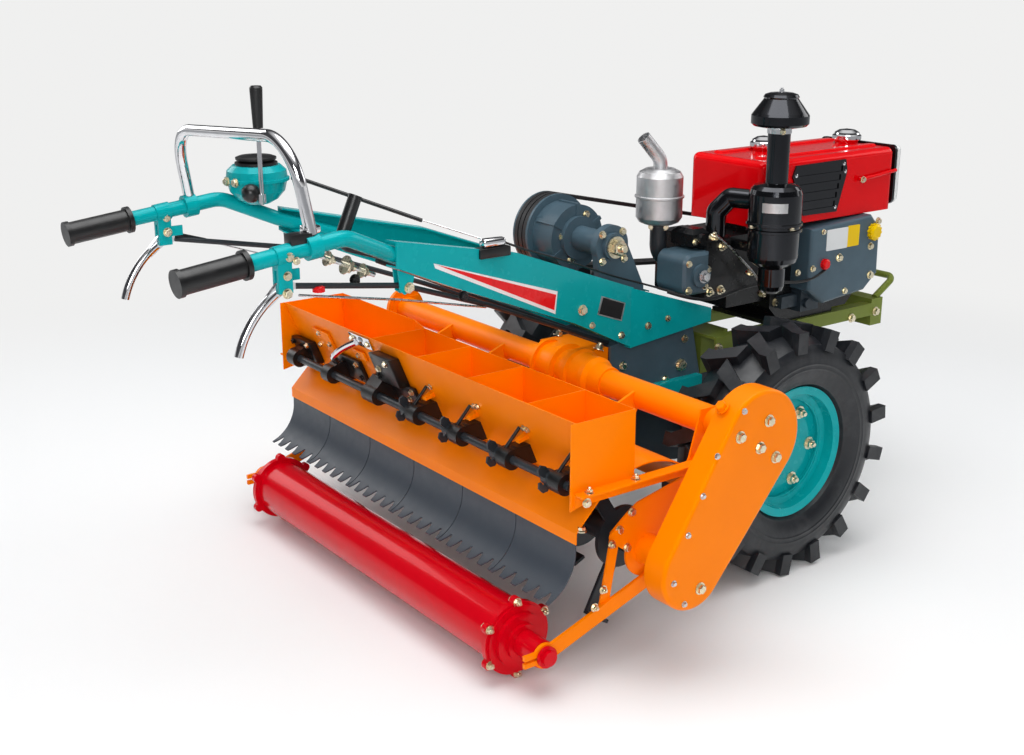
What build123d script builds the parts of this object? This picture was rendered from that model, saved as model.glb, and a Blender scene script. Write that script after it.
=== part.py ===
from build123d import *
import os
from math import acos, atan2, cos, degrees, hypot, sin, sqrt

# A walking tractor (two wheels, one-cylinder diesel, long handles) with a rotary seeder on its hitch.
# X points to the machine's right, Y forward and Z up. While the pieces are made, Y = 0 is the wheel
# axle, X = 0 the middle between the wheels and Z = 0 the ground. All sizes are millimetres.

# Wheels
TREAD_HALF = 397.0          # wheel centre from the machine's middle
TYRE_R = 318.0              # over the lugs
CARCASS_R = 290.0
TYRE_HALF_W = 82.5
BEAD_R = 156.0
BEAD_HALF_W = 50.0
SIDEWALL_R = 225.0
SHOULDER_R = 276.0
SHOULDER_X = 70.0
RUBBER_T = 11.0
LUGS_PER_SIDE = 17
LUG_W = 34.0
LUG_OUT_X = 84.0            # outer end of a lug from the tyre's middle
LUG_IN_X = -9.0             # inner end, past the middle
LUG_SWEEP = 78.0            # how far a lug runs round the tread
LUG_ROOT_R = 262.0
FLANGE_R = 168.0
RIM_T = 4.0
RIM_WELL_R = 132.0
DISC_X = 10.0               # disc outward of the wheel's middle
DISC_T = 6.0
HUB_R = 30.0
HUB_FLANGE_R = 62.0
HUB_FLANGE_T = 10.0
HUB_NOSE = 22.0
AXLE_R = 22.0
RUN_FIT = 0.05              # radial clearance of a running shaft
FIT = 0.3                   # clearance between curved faces that nearly touch

# Gearbox and hitch
BOX_HALF_W = 104.0
SIDE_PLATE_T = 6.0
TRUMPET_R = 52.0
TRUMPET_END_X = 262.0
AXLE_IN_X = 118.0           # inner end of each half axle
HITCH_BAR_W = 22.0
HITCH_BAR_H = 42.0
HITCH_BAR_TOP = 442.0
GEARBOX_TOP = [(-309, 563), (-66, 589), (-30, 578), (6, 426), (-60, 415), (-309, 430)]
GEARBOX_LOW_TOP = 430.0     # top of the gearbox nose, which carries the bed
GEARBOX_LOW = [(-240, GEARBOX_LOW_TOP), (-255, 340), (-200, 235), (-60, 205), (70, 205), (130, 262),
               (130, GEARBOX_LOW_TOP)]
NOSE_INSET = 8.0            # how much narrower the nose is on each side

# Engine bed: two rails under the engine, which stands to the right of the middle
RAIL_RIGHT = (130.0, 160.0)
RAIL_LEFT = (-66.0, -36.0)
RAIL_TOP = 545.0
RAIL_H = 36.0
RAIL_T = 6.0
RAIL_REAR_Y = 9.0
RAIL_FRONT_Y = 640.0
BED_PLATE_T = 7.0
END_BLOCK_Y = (632.0, 680.0)
BED_CROSS_W = 70.0          # cross plate at the bed's rear end
PEDESTAL_X = (-74.0, 94.0)
PEDESTAL_Y = (21.0, 119.0)
BUMPER_R = 9.5
BUMPER_Y = 742.0
BUMPER_Z = 606.0
END_BLOCK_H = 66.0

# Engine
BASE_T = 12.0
CASE_TOP = 822.0
CASE_X = (-70.0, 150.0)
CASE_Y = (215.0, 560.0)
GEAR_COVER_X = 215.0
CYL_X = (-50.0, 130.0)
CYL_Y = 70.0
CYL_Z = (610.0, 800.0)
HEAD_X = (-55.0, 135.0)
HEAD_REAR_Y = -15.0
HEAD_Z = (640.0, 805.0)
ROCKER_X = (50.0, 150.0)
ROCKER_REAR_Y = -105.0
ROCKER_Z = (668.0, 775.0)
ROCKER_DISC_R = 30.0
VALVE_X = (38.0, 118.0)
VALVE_Y = (-48.0, 10.0)
VALVE_Z = (785.0, 828.0)
PUMP_Y = (300.0, 372.0)     # block with the drain screws, low on the right
PUMP_Z = (575.0, 640.0)
GEAR_COVER_FACE = [(292, 806), (535, 820), (572, 782), (576, 652), (524, 610), (358, 596), (292, 640)]
FOOT_X = (-57.0, 149.0)
FOOT_Y = (210.0, 470.0)
CASE_CHAMFER = 34.0
CRANK_Y = 420.0
CRANK_Z = 702.0
FLYWHEEL_R = 160.0
FLYWHEEL_X = (-160.0, -100.0)
CRANK_R = 24.0
CRANK_PULLEY_R = 49.0
CLUTCH_Y = -268.0
CLUTCH_Z = 806.0
CLUTCH_PULLEY_R = 92.0
CLUTCH_DRUM_R = 84.0
BELT_X0 = -212.0            # left edge of the first belt
BELT_W = 13.0
BELT_GAP = 4.0
BELT_T = 9.0
BELT_COUNT = 3
CLUTCH_SHAFT_R = 14.0
CLUTCH_DRUM_END_X = -78.0   # right face of the clutch drum
CLUTCH_RIBS = 6
CLUTCH_RIB_T = 10.0
BEARING_R = 52.0
BEARING_CAP_R = 34.0
BEARING_FOOT = [(-263, 661), (-160, 661), (-160, 690), (-218, 806), (-318, 806), (-306, 720), (-263, 690)]
BEARING_X = (38.0, 60.0)

# Tank hood, lamp panel, breathing and exhaust
HOOD_X = (-80.0, 190.0)
HOOD_Y = (123.0, 646.0)
HOOD_Z = (822.0, 993.0)
HOOD_T = 3.0
HOOD_EDGE_R = 22.0
HOOD_RIDGES_X = (-36.0, 112.0)
HOOD_RIDGE_W = 26.0
HOOD_RIDGE_H = 5.0
TANK_NECKS = ((48.0, 606.0, 40.0), (18.0, 300.0, 36.0))
NECK_H = 9.0
GASKET_T = 9.0
LAMP_T = 34.0
GRILLE_FACE = [(240, 976), (433, 978), (441, 945), (408, 840), (275, 842), (228, 948)]
GRILLE_T = 5.0
LOUVRES = 5
LOUVRE_PITCH = 23.0
LOUVRE_H = 15.0
LOUVRE_LOW_Z = 855.0
CLEANER_XY = (262.0, 92.0)
CLEANER_R = 67.0
CLEANER_Z = (752.0, 955.0)
BOWL_R = 34.0
BOWL_Z = 675.0
STACK_R = 28.0
STACK_TOP = 1090.0
CAP_R = 71.0
CAP_Z = (1092.0, 1178.0)
CAP_DISC_R = 42.0
MUFFLER_XY = (8.0, -66.0)
MUFFLER_R = 60.0
MUFFLER_Z = (832.0, 975.0)
EXHAUST_R = 22.0
EXHAUST_LOW_Z = 734.0
EXHAUST_BEND = 46.0
OUTLET_R = 18.0
OUTLET_R_IN = 15.0
OUTLET_TOP = 1056.0
OUTLET_RUN = (-12.0, -50.0, 58.0)   # from the outlet pipe's bend to its mouth
OUTLET_BEND = 40.0

# Handles
FRAME_HALF_W = 130.0        # outer face of the handle frame's front part
FRAME_T = 4.0
FRAME_FLANGE = 34.0
SPLAY_Y = -263.0            # where the frame begins to open out
SPLAY_END_Y = -1030.0
SPLAY_END_X = 262.0
FRAME_TOP = [(17, 619), (SPLAY_Y, 711), (-675, 863), (SPLAY_END_Y, 940)]
FRAME_LOW = [(17, 584), (SPLAY_Y, 557), (-473, 661), (-858, 812), (SPLAY_END_Y, 884)]
HANDLE_R = 16.5
GRIP_R = 24.0
GRIP_END_Y = -1506.0
GRIP_LENGTH = 145.0
GRIP_BEAD = 10.0
HANDLE_X = 289.0
GRIP_END_Z = 925.0
GRIP_CAP_T = 6.0
HANDLE_PATH = [(217, -880, 864), (241, SPLAY_END_Y, 915), (283, -1150, 968),
               (HANDLE_X, GRIP_END_Y, GRIP_END_Z)]
HANDLE_BEND = 70.0
SPLAY_LAP = 8.0
TIE_YZ = (-1000.0, 884.0)
TIE_HALF = 240.0
BRIDGE_Z = 655.0            # plate between the channels that carries the clutch bearing
BRIDGE_T = 6.0
BRIDGE_FRONT_Y = -150.0
U_BAR_R = 12.5
U_BAR_HALF = 268.0
U_BAR_Y = -1252.0
U_BAR_RIGHT_Z = 1168.0
U_BAR_LEFT_Z = 1132.0
U_BAR_BEND = 96.0
COLLAR_AT = 284.0           # distances along the handle from the grip's end
BRAKE_AT = 218.0
COLLAR_R = 25.0
BRAKE_PIVOT_Z = 893.0
BRAKE_R = 9.0
BRAKE_BLADE_HALF = 4.7
BRAKE_BLADE_R = 14.0
BRACKET_HALF = (12.0, 15.0) # in X and in Y
BRACKET_IN_HALF = 5.0
LEVER_MID = (-60.0, -52.0)  # from the pivot, in Y and Z
LEVER_TIP = (-100.0, -126.0)
GEAR_HEAD_XY = (-235.0, -1079.0)
GEAR_HEAD_R = 70.0
SEAM_R = 73.0
GEAR_HEAD_Z = (957.0, 1044.0)
GEAR_LEVER_XY = (-148.0, -1112.0)
GEAR_LEVER_Z = (968.0, 1136.0)
SECOND_LEVER = ((190.0, -985.0, 888.0), (190.0, -1114.0, 930.0), (190.0, -1102.0, 957.0))
SECOND_GRIP_LENGTH = 80.0
SECOND_GRIP_R = 14.0
GUIDE_X = (229.0, 248.0)    # two hanger plates under the right channel, beside the rod
GUIDE_FACE = [(-1012, 878), (-972, 861), (-980, 832), (-996, 824), (-1007, 832)]
GUIDE_T = 3.0
ROD_R = 6.0
SIDE_ROD = [(285.0, -1266.0, 888.0), (240.0, -994.0, 842.0), (140.0, -700.0, 735.0), (85.0, -300.0, 568.0)]
MIDDLE_ROD = [(150.0, -1000.0, 880.0), (60.0, -300.0, 568.0)]
ROD_BEND = 60.0

# Seeder
SEED_RIGHT = 566.0          # outer face of the right side plate
SEED_LEFT = -699.0
SIDE_T = 5.0
SEED_MID = (SEED_RIGHT + SEED_LEFT) / 2
SEED_IN = (SEED_LEFT + SIDE_T, SEED_RIGHT - SIDE_T)
ROTOR_Y = -588.0
ROTOR_Z = 258.0
ROTOR_TIP_R = 190.0
ROTOR_SHAFT_R = 30.0
ROTOR_STUB_R = 20.0
ROTOR_DISC_R = 72.0
ROTOR_DISCS = 9
BLADE_T = 8.0
BLADE_W = 34.0
BLADES_PER_DISC = 3
HOOD_IN_R = 197.0
SHEET_T = 3.0
SHELF_Y = -786.0            # rear edge of the hood, which carries the flaps
SHELF_Z = 343.0
LIP_H = 26.0
TUBE_Y = -400.0
TUBE_Z = 512.0
TUBE_R = 34.0
TUBE_WALL = 5.0
CASE_IN_X = 654.0
CASE_SPLIT_X = 684.0
CASE_OUT_X = 714.0
CASE_TOP_R = 110.0
CASE_LOW_R = 88.0
BEARING_SLEEVE_R = 34.0
HOPPER_REAR_Y = -794.0
HOPPER_FRONT_Y = -632.0
HOPPER_WIDE_Y = -609.0
HOPPER_TOP = 588.0
HOPPER_FOOT_Y = -722.0
HOPPER_FOOT_Z = 418.0
HOPPER_FRONT_Z = 476.0
HOPPER_T = 2.5
TUBE_FLANGES = ((-711.0, -699.0, 60.0), (638.0, 654.0, 52.0))
TUBE_CASTING = [(-36, 30), (-36, 53), (-33, 56), (-22, 56), (-22, 47), (40, 50), (42, 62), (54, 62),
                (58, 50), (92, 52),
                (94, 61), (108, 61), (112, 54), (150, 47), (151, 53), (166, 53), (176, 44), (215,
                                                                                             38), (215, 30)]
HITCH_X = (-60.0, 100.0)
HITCH_Z = (462.0, 560.0)
SIDE_FACE = [(-360, 548), (-440, 548), (-470, 445), (-492, 400), (-618, 374), (-645, 358), (-692, 322),
             (-692, 300),
             (-640, 262), (-600, 194), (-520, 188), (-420, 290), (-380, 400)]
BEARING_END = 34.0
HOOD_FRONT_ANGLE = 0.35     # radians above level
RIB_X = (-420.0, -180.0, 330.0)
RIB_T = 8.0
RIB_FACE = [(TUBE_Y - 12, TUBE_Z - 14), (TUBE_Y - 12, TUBE_Z + 24), (ROTOR_Y, 468), (ROTOR_Y, 440),
            (-470, 400)]
DIVIDERS = (-240.0, -35.0, 175.0, 400.0)
HOPPER_STEP = 80.0          # how far the front wall runs to step back
END_PLATE_LAP = 12.0        # how far the end plates stand behind the rear wall
END_PLATE_LOW = 398.0
ANGLE_TOP = 437.0
ANGLE_LEG = 30.0
ANGLE_T = 4.0
ANGLE_FRONT_Y = -430.0
METER_Y = -790.0
METER_Z = 444.0
METERS = ((-662.0, -624.0, 22.0, 30.0), (-470.0, -436.0, 22.0, 30.0), (-262.0, -208.0, 22.0, 44.0),
          (-57.0, -21.0, 20.0, 26.0),
          (125.0, 161.0, 20.0, 26.0), (313.0, 349.0, 20.0, 26.0), (498.0, 534.0, 20.0, 26.0))
METER_SHAFT_X = (-670.0, 548.0)
STARS = (-75.0, 107.0, 295.0, 480.0)
METER_SHAFT_R = 10.0
METER_HUB_R = 18.0
METER_BOSS_R = 24.0
WING_T = 5.0
WINGS = (([(-8, 12), (-13, 32), (-6, 43), (5, 43), (11, 30), (8, 12)], 28.0),
         ([(-8, 10), (-13, 26), (-5, 36), (10, 36), (19, 26), (15, 21), (4, 24), (6, 10)], 118.0))
TAB_W = 14.0
TAB_FROM = 44.0             # from the winged hub to its tab
WING_SIDE = -18.0           # from a metering unit's left face to its winged hub
TAB_REACH = 26.0
ROLLER_Y = -877.0
ROLLER_Z = 96.0
ROLLER_R = 72.0
ROLLER_WALL = 4.0
ROLLER_RING_R = 96.0
ROLLER_RING_T = 14.0
ROLLER_EAR_R = 12.0
ROLLER_EARS = 6
ROLLER_CAPS = ((6.0, 78.0), (12.0, 62.0), (10.0, 42.0))     # (length, radius)
ROLLER_X = (-611.0, 479.0)
ROLLER_PIN_R = 15.0
ARM_T = 8.0
ARM_GAP = 4.0               # strut thickness between side plate and arm
ARM_H = 34.0
ARM_PIVOT = (-548.0, 206.0)
CLAMP_R = 28.0
CLAMP_SLOT = 6.0
CLAMP_LUG = 11.0
CLAMP_REACH = 26.0
STRUT_TOP = (-684.0, 312.0)
STRUT_LOW = (-712.0, 158.0)
FLAP_COUNT = 6
FLAP_BEND_Z = 300.0
FLAP_CURVE_R = 106.8
FLAP_END_ANGLE = 1.24
FLAP_GAP = 3.0
FLAP_T = 3.0
TOOTH_PITCH = 41.0
TOOTH_DEPTH = 26.0

pieces = {}


def box(x, y, z):
    sizes = (x[1] - x[0], y[1] - y[0], z[1] - z[0])
    return Pos(x[0], y[0], z[0]) * Box(*sizes, align=(Align.MIN,) * 3)


def rod_x(x, y, z, r):
    bar = Cylinder(r, x[1] - x[0], align=(Align.CENTER, Align.CENTER, Align.MIN))
    return Plane.YZ.offset(x[0]) * Pos(y, z, 0) * bar


def rod_z(x, y, z, r):
    return Pos(x, y, z[0]) * Cylinder(r, z[1] - z[0], align=(Align.CENTER, Align.CENTER, Align.MIN))


def rod(start, end, r):
    axis = Vector(*end) - Vector(*start)
    return extrude(Plane(origin=start, z_dir=axis) * Circle(r), axis.length)


def outline(points):
    return make_face(Polyline(*points, close=True))


def plate_x(x, face):
    """A plate square to X from a face drawn in Y and Z."""
    return extrude(Plane.YZ.offset(x[0]) * face, x[1] - x[0])


def pipe(points, r, bend):
    """A round bar along straight runs joined by arcs."""
    path = FilletPolyline(*points, radius=bend)
    return sweep(Plane(path @ 0, z_dir=path % 0) * Circle(r), path=path)


def turned_x(x, y, z, steps):
    """A stepped round piece along X: steps are (length, radius)."""
    solid = None
    for length, r in steps:
        part = rod_x((x, x + length), y, z, r)
        solid = part if solid is None else solid + part
        x += length
    return solid


def turned_z(x, y, profile):
    """A round piece about a vertical axis from (radius, height) points."""
    return Pos(x, y, 0) * revolve(Plane.XZ * outline(profile), Axis.Z)


def two_circles(a, ra, b, rb):
    """The face of a belt or a case round two circles a and b in Y and Z."""
    along = atan2(b[1] - a[1], b[0] - a[0])
    lean = acos((ra - rb) / hypot(b[0] - a[0], b[1] - a[1]))
    up, down = along + lean, along - lean
    corners = [(a[0] + ra * cos(up), a[1] + ra * sin(up)), (b[0] + rb * cos(up), b[1] + rb * sin(up)),
               (b[0] + rb * cos(down), b[1] + rb * sin(down)), (a[0] + ra * cos(down),
                                                                a[1] + ra * sin(down))]
    return Pos(*a) * Circle(ra) + Pos(*b) * Circle(rb) + outline(corners)


def mirrored(shape, middle=0.0):
    return mirror(shape, about=Plane.YZ.offset(middle))


# Wheels

def tyre():
    """Carcass turned about X at the origin, with slanting lugs."""
    bead = [(BEAD_HALF_W, BEAD_R), (BEAD_HALF_W, FLANGE_R), (64, 176)]
    out_shoulder, in_shoulder = (SHOULDER_X, SHOULDER_R), (SHOULDER_X - RUBBER_T, SHOULDER_R - RUBBER_T)
    in_bead = [(BEAD_HALF_W - RUBBER_T, BEAD_R), (BEAD_HALF_W, 178)]
    right = Polyline(*bead) + ThreePointArc(bead[-1], (TYRE_HALF_W, SIDEWALL_R), out_shoulder)
    right += Polyline(bead[0], *in_bead) + ThreePointArc(in_bead[-1],
                                                         (TYRE_HALF_W - RUBBER_T, SIDEWALL_R), in_shoulder)
    left = mirror(right, about=Plane.YZ)
    crowns = ThreePointArc(out_shoulder, (0, CARCASS_R), (-out_shoulder[0], out_shoulder[1]))
    crowns += ThreePointArc(in_shoulder, (0, CARCASS_R - RUBBER_T), (-in_shoulder[0], in_shoulder[1]))
    carcass = revolve(make_face(right.edges() + left.edges() + crowns.edges()), Axis.X)
    top = sqrt(TYRE_R ** 2 - (LUG_SWEEP / 2) ** 2)
    lug = [(LUG_IN_X, LUG_SWEEP / 2), (LUG_IN_X, LUG_SWEEP / 2 - LUG_W * 1.3),
           (LUG_OUT_X - 22, -LUG_SWEEP / 2),
           (LUG_OUT_X, -LUG_SWEEP / 2), (LUG_OUT_X, -LUG_SWEEP / 2 + LUG_W), (LUG_OUT_X - 20,
                                                                              -LUG_SWEEP / 2 + LUG_W)]
    block = extrude(Plane.XY.offset(LUG_ROOT_R) * outline(lug), top - LUG_ROOT_R)
    lugs = []
    for side in (0, 1):
        one = mirror(block, about=Plane.YZ) if side else block
        for i in range(LUGS_PER_SIDE):
            lugs.append(Rot((i + side / 2) * 360 / LUGS_PER_SIDE, 0, 0) * one)
    return carcass + lugs


def rim():
    """Drop-centre rim with its disc, turned about X at the origin, disc towards +X."""
    half = BEAD_HALF_W + FIT
    seat = [(half, BEAD_R - FIT), (30, BEAD_R - 4), (24, RIM_WELL_R)]
    flange = [(half, FLANGE_R - FIT), (half + 7, FLANGE_R), (half + 7, FLANGE_R - 3),
              (half + RIM_T, BEAD_R - 8)]
    inside = [(26, BEAD_R - 6 - RIM_T), (21, RIM_WELL_R - RIM_T)]
    right = inside[::-1] + flange[::-1] + seat
    left = [(-x, r) for x, r in reversed(right)]
    disc = [(DISC_X, HUB_R + FIT), (DISC_X + DISC_T, HUB_R + FIT), (DISC_X + DISC_T, 100),
            (DISC_X + DISC_T - 4, RIM_WELL_R - 2), (DISC_X - 4, RIM_WELL_R - 2), (DISC_X, 100)]
    return revolve(outline(right + left) + outline(disc), Axis.X)


def half_axle():
    """Right half axle with the flange that the wheel disc bolts to."""
    flange_x = TREAD_HALF + DISC_X - HUB_FLANGE_T
    steps = [(flange_x - 30 - AXLE_IN_X, AXLE_R), (30, HUB_R), (HUB_FLANGE_T, HUB_FLANGE_R),
             (HUB_NOSE, HUB_R)]
    return turned_x(AXLE_IN_X, 0, TYRE_R, steps)


def wheels():
    rubber, steel, axle = tyre(), rim(), half_axle()
    place = Pos(TREAD_HALF, 0, TYRE_R)
    for name, shape in (("tyre", place * rubber), ("rim", place * steel), ("half_axle", axle)):
        pieces[name + "_right"] = shape
        pieces[name + "_left"] = mirrored(shape)


# Gearbox, hitch and engine bed

def gearbox():
    body = plate_x((-BOX_HALF_W, BOX_HALF_W), outline(GEARBOX_TOP))
    body += plate_x((-BOX_HALF_W + NOSE_INSET, BOX_HALF_W - NOSE_INSET), outline(GEARBOX_LOW))
    for side in (1, -1):
        ends = sorted((side * 90, side * TRUMPET_END_X))
        bores = sorted((side * (AXLE_IN_X - 4), side * (TRUMPET_END_X + 1)))
        body += rod_x(ends, 0, TYRE_R, TRUMPET_R)
        body -= rod_x(bores, 0, TYRE_R, AXLE_R + RUN_FIT)
    return body


def gearbox_side_plates():
    plate = plate_x((BOX_HALF_W, BOX_HALF_W + SIDE_PLATE_T), outline(GEARBOX_TOP))
    return Compound([plate, mirrored(plate)])


def hitch_bars():
    x = BOX_HALF_W + SIDE_PLATE_T
    bar = box((x, x + HITCH_BAR_W), (TUBE_Y + TUBE_R + 14, -8),
              (HITCH_BAR_TOP - HITCH_BAR_H, HITCH_BAR_TOP))
    return Compound([bar, mirrored(bar)])


def engine_bed():
    bed = None
    for x0, x1, web_x in ((*RAIL_RIGHT, RAIL_RIGHT[1] - RAIL_T), (*RAIL_LEFT, RAIL_LEFT[0])):
        flange = box((x0, x1), (RAIL_REAR_Y, RAIL_FRONT_Y), (RAIL_TOP - RAIL_T, RAIL_TOP))
        web = box((web_x, web_x + RAIL_T), (RAIL_REAR_Y, RAIL_FRONT_Y), (RAIL_TOP - RAIL_H, RAIL_TOP))
        rail = flange + web
        bed = rail if bed is None else bed + rail
    across = (RAIL_LEFT[0], RAIL_RIGHT[1])
    bed += box(across, (RAIL_REAR_Y, RAIL_REAR_Y + BED_CROSS_W), (RAIL_TOP - BED_PLATE_T, RAIL_TOP))
    bed += box(across, END_BLOCK_Y, (RAIL_TOP - END_BLOCK_H, RAIL_TOP + 12))
    return bed + box(PEDESTAL_X, PEDESTAL_Y, (GEARBOX_LOW_TOP, RAIL_TOP - BED_PLATE_T))


def front_bumper():
    y, z = RAIL_FRONT_Y + 22, RAIL_TOP + 12
    x0, x1 = RAIL_LEFT[0] + 14, RAIL_RIGHT[1] - 14
    bow = pipe([(x1, y, z), (x1, BUMPER_Y, BUMPER_Z), (x0, BUMPER_Y, BUMPER_Z), (x0, y, z)], BUMPER_R, 24)
    return bow - box((x0 - 20, x1 + 20), (y - 30, y + 30), (z - 20, z))


# Engine

def crankcase():
    z0 = RAIL_TOP
    base = box(FOOT_X, FOOT_Y, (z0, z0 + BASE_T))
    case = box(CASE_X, CASE_Y, (z0 + BASE_T, CASE_TOP))
    case = chamfer(case.edges().filter_by(Axis.X).sort_by(Axis.Z)[:2], CASE_CHAMFER)
    return base + case


def gear_cover():
    cover = plate_x((CASE_X[1], GEAR_COVER_X), outline(GEAR_COVER_FACE))
    return fillet(cover.faces().sort_by(Axis.X)[-1].edges(), 9)


def cylinder_block():
    return box(CYL_X, (CYL_Y, CASE_Y[0]), CYL_Z)


def cylinder_head():
    head = box(HEAD_X, (HEAD_REAR_Y, CYL_Y), HEAD_Z)
    return fillet(head.edges().filter_by(Axis.Y), 14)


def rocker_cover():
    cover = box(ROCKER_X, (ROCKER_REAR_Y, HEAD_REAR_Y), ROCKER_Z)
    cover = fillet(cover.edges().filter_by(Axis.X).sort_by(Axis.Y)[:2], 26)
    cover = chamfer(cover.faces().sort_by(Axis.X)[-1].edges(), 7)
    y, z = (ROCKER_REAR_Y + HEAD_REAR_Y) / 2 + 12, sum(ROCKER_Z) / 2 - 4
    cover += rod_x((ROCKER_X[1] - 5, ROCKER_X[1] + 8), y, z, ROCKER_DISC_R)
    return cover + rod_x((ROCKER_X[1] - 5, ROCKER_X[1] + 13), y, z, ROCKER_DISC_R - 18)


def valve_block():
    """Black casting with the valve gear, on top of the head."""
    block = box(VALVE_X, VALVE_Y, VALVE_Z)
    block = chamfer(block.faces().sort_by(Axis.Z)[-1].edges(), 12)
    block += rod_x((VALVE_X[1] - 30, VALVE_X[1] + 14), VALVE_Y[0] + 28, VALVE_Z[0] + 17, 15)
    block -= box(HEAD_X, (HEAD_REAR_Y, CYL_Y), HEAD_Z)
    return block - box(ROCKER_X, (ROCKER_REAR_Y, HEAD_REAR_Y), (ROCKER_Z[0], ROCKER_Z[1]))


def pump_block():
    """Block on the crankcase's right side, under the air cleaner."""
    case_x = CASE_X[1]
    block = box((case_x, case_x + 34), PUMP_Y, PUMP_Z) + box((case_x, case_x + 22),
                                                             (PUMP_Y[0] - 62, PUMP_Y[0]), (590, 622))
    block += rod_x((case_x + 34, case_x + 44), PUMP_Y[0] + 22, PUMP_Z[0] + 22, 13)
    return block - pieces["gear_cover"]


def flywheel():
    steps = [(FLYWHEEL_X[0] - BELT_X0 + 3, CRANK_PULLEY_R - FIT),
             (FLYWHEEL_X[1] - FLYWHEEL_X[0], FLYWHEEL_R),
             (CASE_X[0] - FLYWHEEL_X[1], CRANK_R)]
    return turned_x(BELT_X0 - 3, CRANK_Y, CRANK_Z, steps)


def clutch():
    """Pulley, ribbed drum and shaft."""
    belts_w = BELT_COUNT * BELT_W + (BELT_COUNT - 1) * BELT_GAP
    pulley_end = BELT_X0 + belts_w + 3
    shaft_x = (CLUTCH_DRUM_END_X + 14, BEARING_X[1] + 30)
    steps = [(6, CLUTCH_PULLEY_R + BELT_T), (belts_w, CLUTCH_PULLEY_R - FIT), (8, CLUTCH_PULLEY_R + BELT_T),
             (CLUTCH_DRUM_END_X - pulley_end - 5, CLUTCH_DRUM_R), (14,
                                                                   56), (BEARING_X[0] - 4 - shaft_x[0], 32),
             (shaft_x[1] - BEARING_X[0] + 4, CLUTCH_SHAFT_R)]
    drum = turned_x(BELT_X0 - 6, CLUTCH_Y, CLUTCH_Z, steps)
    rib_x = (pulley_end + 12, CLUTCH_DRUM_END_X + 3)
    for i in range(CLUTCH_RIBS):
        rib = box(rib_x, (-CLUTCH_RIB_T / 2, CLUTCH_RIB_T / 2), (CLUTCH_DRUM_R - 30, CLUTCH_DRUM_R + 4))
        drum += Pos(0, CLUTCH_Y, CLUTCH_Z) * Rot(i * 360 / CLUTCH_RIBS, 0, 0) * rib
    return drum


def drive_belts():
    clutch_axis, crank_axis = (CLUTCH_Y, CLUTCH_Z), (CRANK_Y, CRANK_Z)
    outer = two_circles(clutch_axis, CLUTCH_PULLEY_R + BELT_T, crank_axis, CRANK_PULLEY_R + BELT_T)
    loop = outer - two_circles(clutch_axis, CLUTCH_PULLEY_R, crank_axis, CRANK_PULLEY_R)
    belts = []
    for i in range(BELT_COUNT):
        x = BELT_X0 + i * (BELT_W + BELT_GAP)
        belts.append(plate_x((x, x + BELT_W), loop))
    return Compound(belts)


def bearing_bracket():
    face = outline(BEARING_FOOT) + Pos(CLUTCH_Y, CLUTCH_Z) * Circle(BEARING_R)
    bracket = plate_x(BEARING_X, face) + rod_x((BEARING_X[1], BEARING_X[1] + 12), CLUTCH_Y, CLUTCH_Z,
                                               BEARING_CAP_R)
    return bracket - rod_x((BEARING_X[0] - 1, BEARING_X[1] + 13), CLUTCH_Y, CLUTCH_Z,
                           CLUTCH_SHAFT_R + RUN_FIT)


# Tank hood, lamp, breathing and exhaust

def tank_hood():
    """Sheet hood with the tank in it, two long ridges and two filler necks."""
    shell = fillet(box(HOOD_X, HOOD_Y, HOOD_Z).edges().filter_by(Axis.Z), HOOD_EDGE_R)
    shell = fillet(shell.faces().sort_by(Axis.Z)[-1].edges(), 18)
    x, y, z = ((a + HOOD_T, b - HOOD_T) for a, b in (HOOD_X, HOOD_Y, HOOD_Z))
    hollow = fillet(box(x, y, z).edges().filter_by(Axis.Z), HOOD_EDGE_R - HOOD_T)
    hollow = fillet(hollow.faces().sort_by(Axis.Z)[-1].edges(), 15)
    neck = box((CASE_X[0] + 30, CASE_X[1] - 30), (CASE_Y[0] + 30, CASE_Y[1] - 30),
               (HOOD_Z[0] - 1, HOOD_Z[0] + HOOD_T + 1))
    shell = shell - hollow - neck
    top = HOOD_Z[1]
    for ridge_x in HOOD_RIDGES_X:
        ridge = box((ridge_x, ridge_x + HOOD_RIDGE_W), (HOOD_Y[0] + 46, HOOD_Y[1] - 22),
                    (top - 1, top + HOOD_RIDGE_H))
        shell += chamfer(ridge.faces().sort_by(Axis.Z)[-1].edges(), HOOD_RIDGE_H - 1)
    for neck_x, neck_y, r in TANK_NECKS:
        shell += rod_z(neck_x, neck_y, (top - 1, top + NECK_H), r - 8)
    return shell


def side_grille():
    """Black louvred panel on the hood's right side, and the black band behind the lamp panel."""
    plate = plate_x((HOOD_X[1], HOOD_X[1] + GRILLE_T), outline(GRILLE_FACE))
    for i in range(LOUVRES):
        z = LOUVRE_LOW_Z + i * LOUVRE_PITCH
        plate -= box((HOOD_X[1] + 2, HOOD_X[1] + 6), (272 - i * 6, 398 + i * 6), (z, z + LOUVRE_H))
    band = box((HOOD_X[0] + 1, HOOD_X[1] - 1), (HOOD_Y[1], HOOD_Y[1] + GASKET_T),
               (HOOD_Z[0] + 11, HOOD_Z[1] + 4))
    return Compound([plate, fillet(band.edges().filter_by(Axis.Y), 16)])


def tank_caps():
    """Domed caps on the two filler necks."""
    caps = []
    for x, y, r in TANK_NECKS:
        profile = [(0, 0), (r - 2, 0), (r, 3), (r, 13), (r - 4, 16), (r - 6, 21), (r - 18, 28), (0, 31)]
        caps.append(Pos(0, 0, HOOD_Z[1] + NECK_H) * turned_z(x, y, profile))
    return Compound(caps)


def lamp_panel():
    y0 = HOOD_Y[1] + GASKET_T
    panel = box((HOOD_X[0] + 4, HOOD_X[1] - 4), (y0, HOOD_Y[1] + LAMP_T), (HOOD_Z[0] + 14, HOOD_Z[1] + 2))
    panel = fillet(panel.edges().filter_by(Axis.Y), 14)
    return fillet(panel.faces().sort_by(Axis.Y)[-1].edges(), 12)


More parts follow.
